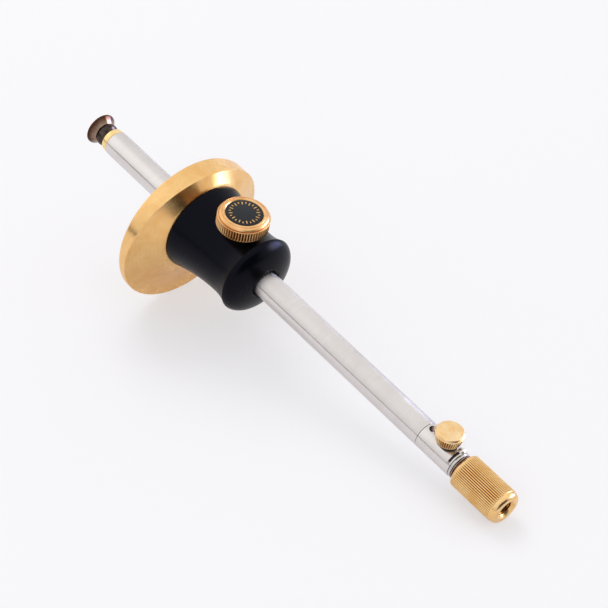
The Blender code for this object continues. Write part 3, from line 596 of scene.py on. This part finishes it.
def carve(piece, bm, name):
    """Cut a tool, drawn in local millimetre places, out of a piece."""
    bm.transform(LOCAL)
    tool = to_object(bm, name)
    carving = piece.modifiers.new(name, "BOOLEAN")
    carving.operation = "DIFFERENCE"
    carving.solver = "EXACT"
    carving.object = tool
    graph = bpy.context.evaluated_depsgraph_get()
    cut = bpy.data.meshes.new_from_object(piece.evaluated_get(graph))
    piece.modifiers.remove(carving)
    piece.data = cut
    bpy.data.objects.remove(tool, do_unlink=True)
    cut.set_sharp_from_angle(angle=SHARP)


def peg(at, radius_mm, low, high):
    """An upright cylinder to carve with."""
    bm = bmesh.new()
    bmesh.ops.create_cone(bm, cap_ends=True, segments=HOLE, radius1=radius_mm * MM,
                          radius2=radius_mm * MM, depth=(high - low) * MM)
    bmesh.ops.translate(bm, vec=Vector((at[0], at[1], at[2] + (low + high) / 2.0)) * MM, verts=bm.verts[:])
    return bm


def drill(at, outline):
    """A turned shape to carve with, laid along the beam from a place."""
    bm = spun(outline, HOLE)
    bmesh.ops.rotate(bm, cent=(0.0, 0.0, 0.0), matrix=LAID.to_3x3(), verts=bm.verts[:])
    bmesh.ops.translate(bm, vec=Vector(at) * MM, verts=bm.verts[:])
    return bm


def block(low, high):
    """A box to carve with, between two corners."""
    low, high = Vector(low) * MM, Vector(high) * MM
    bm = bmesh.new()
    bmesh.ops.create_cube(bm, size=1.0)
    bmesh.ops.scale(bm, vec=high - low, verts=bm.verts[:])
    bmesh.ops.translate(bm, vec=(low + high) / 2.0, verts=bm.verts[:])
    return bm


def knurl(teeth, depth, low, high, fade, least_r, narrow=1.0):
    """Move the points between two places into straight teeth that fade at both ends, and mark
    how deep each point lies, which sets the painted shade in the valleys. A larger narrow gives narrower valleys."""
    def shape(bm):
        shade_mark = bm.verts.layers.float.get("valley_shade") or bm.verts.layers.float.new("valley_shade")
        for vert in bm.verts:
            reach = math.hypot(vert.co.x, vert.co.y) / MM
            place = vert.co.z / MM
            if reach < least_r or not low < place < high:
                continue
            full = min(1.0, (place - low) / fade, (high - place) / fade)
            wave = (0.5 - 0.5 * math.cos(teeth * math.atan2(vert.co.y, vert.co.x))) ** narrow
            vert[shade_mark] = wave * full
            vert.co.x *= 1.0 - depth * full * wave / reach
            vert.co.y *= 1.0 - depth * full * wave / reach
    return shape


def dress(piece, mat, body, slot, *nodes):
    """Give a piece its finish, its body and the CAD nodes that it stands for."""
    piece.data.materials.clear()
    piece.data.materials.append(mat)
    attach(piece, body)
    if nodes:
        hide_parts(*nodes)


# Beam end to end


def make_beam(mat):
    beam = turn("beam", [
        (BEAM_R, BEAM_FRONT), (BEAM_R, BEAM_REAR), (MOUTH_R, BEAM_REAR), (MOUTH_R, BEAM_REAR - MOUTH_DEPTH),
        (BORE_R, BEAM_REAR - MOUTH_DEPTH), (BORE_R, BEAM_FRONT + MOUTH_DEPTH),
        (MOUTH_R, BEAM_FRONT + MOUTH_DEPTH), (MOUTH_R, BEAM_FRONT)], PLAIN, soft=TUBE_EDGE)
    dress(beam, mat, "beam", "satin_steel", "beam_tube")


def slot_tool():
    """Round-ended slot: one half of a peg drawn out along the beam."""
    bm = peg((SLOT_FRONT + SLOT_HALF, 0.0, 0.0), SLOT_HALF, SLOT_FLOOR, BEAM_R + 1.0)
    rear_half = [v for v in bm.verts if v.co.x > (SLOT_FRONT + SLOT_HALF + 0.01) * MM]
    bmesh.ops.translate(bm, vec=((SLOT_LENGTH - 2.0 * SLOT_HALF) * MM, 0.0, 0.0), verts=rear_half)
    return bm


def make_sleeve(mat):
    sleeve = turn("sleeve", [
        (BEAM_R, SLEEVE_FRONT), (BEAM_R, SLEEVE_REAR), (BORE_R, SLEEVE_REAR), (BORE_R, SLEEVE_SPIGOT),
        (MOUTH_R - SEAT, SLEEVE_SPIGOT), (MOUTH_R - SEAT, SLEEVE_FRONT)], PLAIN, soft=TUBE_EDGE)
    carve(sleeve, slot_tool(), "slot_tool")
    carve(sleeve, block((SLIT_REAR - SLIT_WIDTH, -6.0, SLIT_FLOOR), (SLIT_REAR, 6.0, 6.0)), "slit_tool")
    dress(sleeve, mat, "beam", "satin_steel", "tail_sleeve")


def make_guide_ring(mat):
    ring = turn("guide_ring_front", [
        (BORE_R, RING_FRONT), (BEAM_R - 2.0 * RING_TAPER, RING_FRONT), (BEAM_R - RING_TAPER, RING_FRONT + 0.3),
        (BEAM_R - GAP, BEAM_FRONT - GAP), (MOUTH_R - SEAT, BEAM_FRONT - GAP), (MOUTH_R - SEAT, SPIGOT_REAR),
        (BORE_R, SPIGOT_REAR)], PLAIN, soft=0.1)
    dress(ring, mat, "beam", "brass", "guide_ring")


def make_rod(mat):
    rod = turn("rod_turned", [
        (0.0, ROD_TAP_REAR), (ROD_TAP_R, ROD_TAP_REAR), (ROD_TAP_R, ROD_FRONT), (ROD_R, ROD_FRONT),
        (ROD_R, ROD_SHOULDER), (ROD_STUD_R, ROD_SHOULDER), (ROD_STUD_R, ROD_REAR - 0.4), (1.55, ROD_REAR),
        (0.0, ROD_REAR)], SMALL, soft=FINE_EDGE)
    carve(rod, peg((THUMB_AT, 0.0, 0.0), THUMB_SHANK_R + GAP, THUMB_TIP - GAP, ROD_R + 1.0), "thumb_hole_tool")
    dress(rod, mat, "rod", "satin_steel", "inner_rod")


# Cutter


def make_cutter_wheel(mat):
    outline = [
        (CUTTER_BORE_R, WHEEL_FRONT + WHEEL_DISH), (WHEEL_DISH_R, WHEEL_FRONT + WHEEL_DISH),
        (WHEEL_DISH_R, WHEEL_FRONT), (WHEEL_R - 0.02, WHEEL_FRONT), (WHEEL_R, WHEEL_FRONT + 0.06)]
    outline += curve((WHEEL_R - 0.12, WHEEL_FRONT + 0.5), (4.9, WHEEL_FRONT + 1.7), (4.1, WHEEL_REAR - 0.35), 10)
    outline += [(WHEEL_HUB_R, WHEEL_REAR - 0.15), (WHEEL_HUB_R, WHEEL_REAR), (CUTTER_BORE_R, WHEEL_REAR)]
    dress(turn("cutter_wheel_ground", outline, PLAIN, soft=FINE_EDGE), mat, "rod", "tempered_steel", "cutter_wheel")


def make_cutter_collar(mat):
    collar = turn("cutter_collar_turned", [
        (CUTTER_BORE_R, COLLAR_FRONT), (COLLAR_R - 0.6, COLLAR_FRONT), (COLLAR_R - 0.4, COLLAR_FRONT + 0.3),
        (4.2, COLLAR_FRONT + 1.5), (3.4, COLLAR_REAR - 0.5), (3.3, COLLAR_REAR), (CUTTER_BORE_R, COLLAR_REAR)],
        PLAIN, soft=0.15)
    dress(collar, mat, "rod", "tempered_steel", "cutter_collar")


# Fence


def cove_height(reach):
    """Place of the fence's back at a distance from the beam's line."""
    for (near, near_h), (far, far_h) in zip(COVE, COVE[1:]):
        if reach <= far:
            return between(near_h, far_h, (reach - near) / (far - near))
    return COVE[-1][1]


def fence_rim(bm):
    """Draw the outer part in to a rim whose middle lies below the beam's line."""
    for vert in bm.verts:
        reach = math.hypot(vert.co.x, vert.co.y) / MM
        if reach <= HUB_R:
            continue
        share = (reach - HUB_R) / (FENCE_REACH - HUB_R)
        down = vert.co.x / MM / reach
        edge = FENCE_OFF * down + math.sqrt(FENCE_R ** 2 - FENCE_OFF ** 2 * (1.0 - down ** 2))
        new_reach = between(HUB_R, edge, share)
        if vert.co.z / MM > FENCE_FRONT + 2.0 * FENCE_BEVEL:
            vert.co.z += (cove_height(new_reach) - cove_height(reach)) * MM
        vert.co.x *= new_reach / reach
        vert.co.y *= new_reach / reach


def sink_fence_screw(fence, node):
    """Countersink and hole for one of the screws in the fence's front."""
    left, right = reach_across(node)
    head_r = (right - left) / 2.0 + GAP
    outline = [
        (0.0, -1.0), (head_r, -1.0), (head_r, GAP), (FENCE_SCREW_HOLE_R, GAP + FENCE_SCREW_SINK),
        (FENCE_SCREW_HOLE_R, 12.0), (0.0, 12.0)]
    carve(fence, drill((span(node)[0], (left + right) / 2.0, 0.0), outline), "countersink_tool")


def make_fence(mat):
    outline = [
        (POCKET_R, FENCE_BACK), (POCKET_R, STOCK_SPIGOT - SEAT), (FENCE_BORE_R, STOCK_SPIGOT - SEAT),
        (FENCE_BORE_R, DISH_FLOOR), (DISH_R, DISH_FLOOR), (DISH_R, FENCE_FRONT), (HUB_R + 0.01, FENCE_FRONT)]
    outline += [(between(HUB_R, FENCE_REACH, share), FENCE_FRONT) for share in (0.33, 0.66)]
    outline += [(FENCE_REACH - FENCE_BEVEL, FENCE_FRONT), (FENCE_REACH, FENCE_FRONT + FENCE_BEVEL)]
    outline += curve(COVE_END, COVE_CORNER, COVE_START, 32) + [(STOCK_R + 0.25, FENCE_BACK)]
    fence = turn("fence", outline, FINE, shape=fence_rim, soft=0.15)
    for node in FENCE_SCREWS:
        sink_fence_screw(fence, node)
    dress(fence, mat, "stock", "brass", "fence_disc")


# Stock


def stock_bore():
    """The stock's bore from its mouth to its spigot, with a groove for each rubber ring."""
    outline = [(STOCK_BORE_R, STOCK_REAR - STOCK_SINK)]
    for node in ("stock_oring_rear", "stock_oring_front"):
        front, rear = span(node)
        groove_r = radius(node) + GAP
        outline += [(STOCK_BORE_R, rear + GAP), (groove_r, rear + GAP), (groove_r, front - GAP),
                    (STOCK_BORE_R, front - GAP)]
    return outline + [(STOCK_BORE_R, STOCK_SPIGOT)]


def stock_side():
    """The stock's side: waisted, flared to a crisp ridge, then domed to its mouth."""
    front = (STOCK_R - 0.15, STOCK_FRONT + 0.9)
    flare = (FLARE_R, FLARE_AT)
    outline = curve(front, (WAIST_R, between(front[1], WAIST_AT, 0.5)), (WAIST_R, WAIST_AT), 20)
    outline += curve((WAIST_R, WAIST_AT), (WAIST_R, between(WAIST_AT, FLARE_AT, 0.58)), flare, 16)[1:]
    outline += curve(flare, (FLARE_R - 0.85, between(FLARE_AT, STOCK_REAR, 0.69)), (STOCK_MOUTH_R, STOCK_REAR), 24)[1:]
    return outline


def make_stock(mat):
    outline = stock_bore() + [(POCKET_R - 0.15, STOCK_SPIGOT), (POCKET_R - 0.15, STOCK_FRONT), (STOCK_R, STOCK_FRONT)]
    stock = turn("stock", outline + stock_side(), FINE, soft=0.08)
    carve(stock, peg((LOCK_AT, 0.0, 0.0), STUD_HOLE_R, BEAM_R - 0.5, STOCK_R + 2.0), "stud_hole_tool")
    for node in FENCE_SCREWS:
        deep = span(node)[1] - STOCK_FRONT + SEAT
        outline = [(0.0, -1.0), (FENCE_SCREW_HOLE_R, -1.0), (FENCE_SCREW_HOLE_R, deep), (0.0, deep)]
        carve(stock, drill((STOCK_FRONT, sum(reach_across(node)) / 2.0, 0.0), outline), "screw_tap_tool")
    dress(stock, mat, "stock", "black_aluminium", "stock_body")


# Lock knob


def make_lock_knob(mat):
    outline = [
        (0.0, INLAY_LOW - 1.35), (2.65, INLAY_LOW - 1.35), (2.65, LOCK_BOSS), (LOCK_BOSS_R, LOCK_BOSS),
        (LOCK_BOSS_R, LOCK_BASE), (LOCK_RIM - 0.4, LOCK_BASE)]
    outline += [(LOCK_RIM, between(BAND_LOW, BAND_HIGH, step / 12.0)) for step in range(13)]
    outline += [
        (LOCK_RIM - 0.12, BAND_HIGH + 0.1), (BEZEL_R - BEZEL_GROOVE, BAND_HIGH + 0.12),
        (BEZEL_R - BEZEL_GROOVE, BEZEL_LOW + 0.05), (BEZEL_R - 0.1, BEZEL_LOW + 0.05)]
    outline += curve((BEZEL_R, BEZEL_LOW + 0.2), (BEZEL_R - 0.15, LOCK_TOP - 0.35), (CROWN_R, LOCK_TOP - 0.12), 8)
    outline += [(CROWN_R - 0.02, LOCK_TOP - CROWN_GROOVE), (CROWN_R - 0.2, LOCK_TOP - CROWN_GROOVE)]
    outline += curve((CROWN_R - 0.22, LOCK_TOP - 0.1), (RECESS_R + 0.7, LOCK_TOP + 0.12), (RECESS_R + LIP, LOCK_TOP), 6)
    outline += [(RECESS_R, LOCK_TOP - LIP), (RECESS_R, LOCK_TOP - 1.3), (0.0, LOCK_TOP - 1.3)]
    knob = turn("lock_knob_turned", outline, LOCK_TEETH * PER_TOOTH, at=LOCK_AT, soft=FINE_EDGE,
                shape=knurl(LOCK_TEETH, LOCK_TOOTH, BAND_LOW - 0.25, BAND_HIGH + 0.02, 0.25, BEZEL_R))
    dress(knob, mat, "lock_screw", "brass", "lock_knob")


def make_lock_inlay(mat):
    inlay = turn("inlay_disc", [(0.0, INLAY_LOW), (INLAY_R, INLAY_LOW), (INLAY_R, INLAY_FACE), (0.0, INLAY_FACE)],
                 SMALL, at=LOCK_AT, soft=0.1)
    dress(inlay, mat, "lock_screw", "black_inlay", "lock_knob_inlay")


def make_lock_marks(mat):
    """Ring of long and short marks on the disc."""
    bm = bmesh.new()
    for tick in range(TICKS):
        inner = TICK_IN if tick % 2 == 0 else TICK_IN + TICK_SHORT
        made = bmesh.ops.create_cube(bm, size=1.0)["verts"]
        bmesh.ops.scale(bm, verts=made, vec=Vector((TICK_OUT - inner, TICK_WIDTH, 2.0 * TICK_PROUD)) * MM)
        bmesh.ops.translate(bm, verts=made, vec=Vector(((inner + TICK_OUT) / 2.0, 0.0, INLAY_FACE)) * MM)
        bmesh.ops.rotate(bm, verts=made, cent=(0.0, 0.0, 0.0), matrix=Matrix.Rotation(FULL * tick / TICKS, 3, "Z"))
    bm.transform(LOCAL @ Matrix.Translation((LOCK_AT * MM, 0.0, 0.0)))
    dress(to_object(bm, "lock_knob_marks"), mat, "lock_screw", "brass")


# Thumb screw


def make_thumb_screw(mat):
    outline = [(0.0, THUMB_TIP), (THUMB_SHANK_R, THUMB_TIP), (THUMB_SHANK_R, THUMB_LOW), (THUMB_FOOT_R - 0.3, THUMB_LOW)]
    outline += [(between(THUMB_FOOT_R, THUMB_R, step / 10.0), between(THUMB_LOW + 0.25, TEETH_HIGH, step / 10.0))
                for step in range(11)]
    outline += [(THUMB_CROWN_R - 0.05, TEETH_HIGH + 0.12), (THUMB_CROWN_R, TEETH_HIGH + 0.25)]
    outline += curve((THUMB_CROWN_R, TEETH_HIGH + 0.55), (THUMB_CROWN_R, THUMB_TOP - 0.12),
                     (THUMB_CROWN_R - 0.6, THUMB_TOP - 0.1), 8)
    outline += [(2.2, THUMB_TOP), (0.0, THUMB_TOP)]
    thumb = turn("thumb_screw_turned", outline, THUMB_TEETH * PER_TOOTH, at=THUMB_AT, soft=FINE_EDGE,
                 shape=knurl(THUMB_TEETH, THUMB_TOOTH, THUMB_LOW + 0.1, TEETH_HIGH + 0.05, 0.25, 3.0, 0.8))
    dress(thumb, mat, "thumb", "brass", "thumb_screw")


def make_thumb_washer(mat):
    bore_r = THUMB_SHANK_R + SEAT
    washer = turn("thumb_washer_disc", [
        (bore_r, WASHER_LOW), (WASHER_R, WASHER_LOW), (WASHER_R, WASHER_TOP), (bore_r, WASHER_TOP)],
        SMALL, at=THUMB_AT, soft=0.08)
    dress(washer, mat, "thumb", "black_washer", "thumb_washer")


# Rings and clip


def make_wave_washer(mat):
    front = SLEEVE_REAR + 0.06
    wave = turn("wave_washer_sprung", [
        (RINGS_BORE_R, front), (WAVE_R, front), (WAVE_R, WAVE_REAR), (RINGS_BORE_R, WAVE_REAR)], PLAIN, soft=0.3)
    dress(wave, mat, "beam", "satin_steel", "wave_washer")


def make_thrust_ring(node, mat):
    (front, rear), outer = span(node), radius(node)
    ring = turn(node + "_turned", [(RINGS_BORE_R, front), (outer, front), (outer, rear), (RINGS_BORE_R, rear)],
                PLAIN, soft=0.1)
    dress(ring, mat, "beam", "tempered_steel", node)


def make_clip_ear(mat):
    """Rounded end of the clip that holds the key in its slit."""
    bm = bmesh.new()
    bmesh.ops.create_uvsphere(bm, u_segments=48, v_segments=24, radius=1.0)
    bmesh.ops.scale(bm, vec=Vector(EAR_SIZE) * MM, verts=bm.verts[:])
    bmesh.ops.translate(bm, vec=(0.0, 0.0, (BEAM_R - 0.15) * MM), verts=bm.verts[:])
    bmesh.ops.rotate(bm, cent=(0.0, 0.0, 0.0), matrix=Matrix.Rotation(EAR_TURN, 3, "X"), verts=bm.verts[:])
    bmesh.ops.translate(bm, vec=((SLIT_REAR - SLIT_WIDTH / 2.0) * MM, 0.0, 0.0), verts=bm.verts[:])
    bm.transform(LOCAL)
    ear = to_object(bm, "retaining_key_ear")
    ear.data.shade_smooth()
    dress(ear, mat, "beam", "satin_steel")


# Tail knob


def knob_teeth_and_thread(bm):
    """Knurl the knob's side, mark the inside of its hole fully for painted shade, and cut a helical thread in the hole.
    """
    knurl(KNOB_TEETH, KNOB_TOOTH, KNURL_FRONT, KNURL_REAR, 0.3, SINK_R + 1.0, 1.9)(bm)
    shade_mark = bm.verts.layers.float["valley_shade"]
    for vert in bm.verts:
        reach = math.hypot(vert.co.x, vert.co.y) / MM
        place = vert.co.z / MM
        # Painted shade: every point inside the hole gets the full valley colour.
        if reach < TAP_R + 0.02 and place > KNURL_FRONT:
            vert[shade_mark] = 1.0
        if abs(reach - TAP_R) < 0.02 and THREAD_FRONT < place < THREAD_REAR:
            phase = place / THREAD_PITCH + math.atan2(vert.co.y, vert.co.x) / FULL
            deep = THREAD_DEPTH * abs(2.0 * (phase % 1.0) - 1.0)
            vert.co.x *= 1.0 + deep / reach
            vert.co.y *= 1.0 + deep / reach


def knob_neck():
    """The knob's neck, with the groove that the key holds."""
    key_front, key_rear = span("retaining_key")
    return [
        (NECK_R, NECK_FRONT), (NECK_R, key_front - SEAT), (NECK_GROOVE_R, key_front - SEAT),
        (NECK_GROOVE_R, key_rear + SEAT), (NECK_R, key_rear + SEAT), (NECK_R, KNOB_FRONT)]


def make_tail_knob(mat):
    outline = knob_neck() + [(KNOB_R - 0.45, KNOB_FRONT), (KNOB_R - 0.05, KNOB_FRONT + 0.45)]
    outline += [(KNOB_R, between(KNURL_FRONT, KNURL_REAR - 0.1, step / 16.0)) for step in range(17)]
    outline += curve((KNOB_R - 0.15, KNURL_REAR + 0.05), (KNOB_R - 0.25, KNOB_REAR), (FACE_R, KNOB_REAR), 10)
    outline += [(SINK_R, KNOB_REAR), (TAP_R, KNOB_REAR - SINK)]
    outline += [(TAP_R, between(THREAD_REAR, THREAD_FRONT, step / THREAD_ROWS)) for step in range(THREAD_ROWS + 1)]
    outline += [(TAP_R, THREAD_FRONT - 1.0), (NECK_BORE_R, THREAD_FRONT - 1.5), (NECK_BORE_R, NECK_FRONT)]
    knob = turn("tail_knob_turned", outline, KNOB_TEETH * PER_TOOTH, shape=knob_teeth_and_thread, soft=0.08)
    dress(knob, mat, "knob", "brass", "adjust_knob")


# Pieces kept as the model gives them


def finish_kept_pieces():
    """Give the screws, the key, the shoe and the rubber rings their finishes."""
    steel, rubber = drawn_steel(), nitrile()
    finishes = {
        "cutter_screw": steel, "fence_screw_left": steel, "fence_screw_right": steel, "lock_stud": steel,
        # The key is coloured near black as painted shade in its slit.
        "retaining_key": shaded_key_steel(), "lock_shoe": shoe_brass(), "stock_oring_front": rubber,
        "stock_oring_rear": rubber}
    for node, mat in finishes.items():
        frame["nodes"][node].data.materials.clear()
        frame["nodes"][node].data.materials.append(mat)


# Studio


def sheet(name, low, high, mat):
    """Flat rectangle for the stage, level across and rising along from one corner to the other."""
    bm = bmesh.new()
    bmesh.ops.create_grid(bm, x_segments=1, y_segments=1, size=0.5)
    for vert in bm.verts:
        along, across = vert.co.x + 0.5, vert.co.y + 0.5
        vert.co = (between(low[0], high[0], along), between(low[1], high[1], across), between(low[2], high[2], along))
    made = to_object(bm, name)
    made.data.materials.append(mat)
    return made


def lay_floor():
    sheet("floor", (-1.5, -1.5, 0.0), (1.5, 1.5, 0.0), paper())


def hang_cards():
    """Two dark cards beyond the tail, which show only as the dark fan on the brass."""
    dark = felt()
    for card in (sheet("dark_card", (0.42, -0.33, 0.0), (0.42, 0.14, 0.3), dark),
                 sheet("dark_card_foot", (0.135, -0.2, 0.001), (0.42, 0.14, 0.001), dark)):
        card.visible_camera = False
        card.visible_shadow = False
        card.visible_diffuse = False


def sky_patch(world, direction, azimuth, elevation, inner, outer):
    """1 within inner degrees of a direction of the sky, fading to 0 at outer degrees."""
    azimuth, elevation = math.radians(azimuth), math.radians(elevation)
    towards = (math.cos(elevation) * math.cos(azimuth), math.cos(elevation) * math.sin(azimuth), math.sin(elevation))
    aligned = add(world, "ShaderNodeVectorMath", {0: direction, 1: towards}, operation="DOT_PRODUCT")
    return add(world, "ShaderNodeMapRange", {
        "Value": aligned.outputs["Value"], "From Min": math.cos(math.radians(outer)),
        "From Max": math.cos(math.radians(inner))}, interpolation_type="SMOOTHSTEP").outputs[0]


def room_walls(world, direction):
    """Brightness of the room: whiter overhead, with a dark skirting on the near side."""
    above = add(world, "ShaderNodeSeparateXYZ", {"Vector": direction}).outputs["Z"]
    dome = add(world, "ShaderNodeMapRange", {
        "Value": above, "From Min": 0.0, "From Max": 0.8, "To Min": 0.86, "To Max": 1.04})
    level = add(world, "ShaderNodeMath", {0: above}, operation="ABSOLUTE")
    skirting = add(world, "ShaderNodeMapRange", {
        "Value": level.outputs[0], "From Min": 0.035, "From Max": 0.08, "To Min": 1.0, "To Max": 0.0},
        interpolation_type="SMOOTHSTEP")
    near_side = sky_patch(world, direction, 243.0, 0.0, 30.0, 40.0)
    dark = add(world, "ShaderNodeMath", {0: skirting.outputs[0], 1: near_side}, operation="MULTIPLY")
    kept = add(world, "ShaderNodeMath", {0: dark.outputs[0], 1: -0.9, 2: 1.0}, operation="MULTIPLY_ADD")
    return add(world, "ShaderNodeMath", {0: dome.outputs[0], 1: kept.outputs[0]}, operation="MULTIPLY").outputs[0]


def light_room():
    """The room that metal mirrors: white walls, a soft box and a cool low window. Diffuse surfaces
    and the camera see an even pale sky instead."""
    world = bpy.data.worlds.new("studio")
    bpy.context.scene.world = world
    world.use_nodes = True
    sky = world.node_tree.nodes["Background"]
    direction = add(world, "ShaderNodeTexCoord").outputs["Generated"]
    softbox = sky_patch(world, direction, 200.0, 28.0, 8.0, 40.0)
    window = sky_patch(world, direction, 66.0, 7.0, 9.0, 27.0)
    cool = sky_patch(world, direction, 76.0, 0.0, 14.0, 34.0)
    lit = add(world, "ShaderNodeMath", {0: softbox, 1: 0.3, 2: room_walls(world, direction)}, operation="MULTIPLY_ADD")
    seen = add(world, "ShaderNodeMath", {0: window, 1: 10.5, 2: lit.outputs[0]}, operation="MULTIPLY_ADD")
    tint = add(world, "ShaderNodeMix", {6: colour("#FFFFFF"), 7: colour("#C8CEFF"), "Factor": cool}, data_type="RGBA")
    rays = add(world, "ShaderNodeLightPath")
    mirrored = add(world, "ShaderNodeMath", {
        0: rays.outputs["Is Glossy Ray"], 1: rays.outputs["Is Transmission Ray"]}, operation="MAXIMUM")
    plain = add(world, "ShaderNodeMapRange", {"Value": rays.outputs["Is Camera Ray"], "To Min": 0.8, "To Max": 0.94})
    strength = add(world, "ShaderNodeMix", {
        "Factor": mirrored.outputs[0], "A": plain.outputs[0], "B": seen.outputs[0]}, data_type="FLOAT")
    world.node_tree.links.new(strength.outputs[0], sky.inputs["Strength"])
    world.node_tree.links.new(tint.outputs[2], sky.inputs["Color"])


def soft_lamp(name, place, width, height, power):
    """Area lamp aimed at the gauge. Metal mirrors the room and not the lamp."""
    lamp = bpy.data.lights.new(name, "AREA")
    lamp.shape = "RECTANGLE"
    lamp.size = width
    lamp.size_y = height
    lamp.energy = power
    obj = bpy.data.objects.new(name, lamp)
    obj.location = place
    obj.rotation_euler = (Vector((0.0, 0.0, 0.02)) - Vector(place)).to_track_quat("-Z", "Y").to_euler()
    obj.visible_glossy = False
    bpy.context.scene.collection.objects.link(obj)


def set_camera():
    """Camera at the photograph's angle, from the beam and fence outlines that fit it."""
    data = bpy.data.cameras.new("camera")
    data.lens = 115.73
    data.sensor_width = 36.0
    camera = bpy.data.objects.new("camera", data)
    right = Vector((0.66235, 0.74864, 0.02900))
    up = Vector((-0.45814, 0.37410, 0.80632))
    back = Vector((0.59279, -0.54735, 0.59076))
    aim = Matrix((right, up, back)).transposed().to_4x4()
    aim.translation = (0.39134, -0.35409, 0.41253)
    camera.matrix_world = aim
    bpy.context.scene.collection.objects.link(camera)
    bpy.context.scene.camera = camera
    bpy.context.scene.view_settings.view_transform = "Standard"


# Build
steel = ground_steel()
make_beam(steel)
make_sleeve(steel)
make_rod(steel)
make_guide_ring(ring_brass())
make_cutter_wheel(tempered_steel())
make_cutter_collar(oxide_steel())
make_fence(fence_brass())
make_stock(anodised_black())
make_lock_knob(lock_brass())
make_lock_inlay(enamel_black())
make_lock_marks(gilt())
make_thumb_screw(thumb_brass())
make_thumb_washer(nylon_black())
make_wave_washer(spring_steel())
make_clip_ear(clip_steel())
bronze = dark_bronze()
make_thrust_ring("thrust_ring_front", bronze)
make_thrust_ring("thrust_ring_rear", bronze)
make_tail_knob(knob_brass())
finish_kept_pieces()
lay_floor()
hang_cards()
light_room()
soft_lamp("key_lamp", (-1.3, 0.5, 1.7), 1.3, 1.3, 15.0)
soft_lamp("fill_lamp", (0.7, -1.1, 0.9), 1.0, 0.8, 3.5)
set_camera()
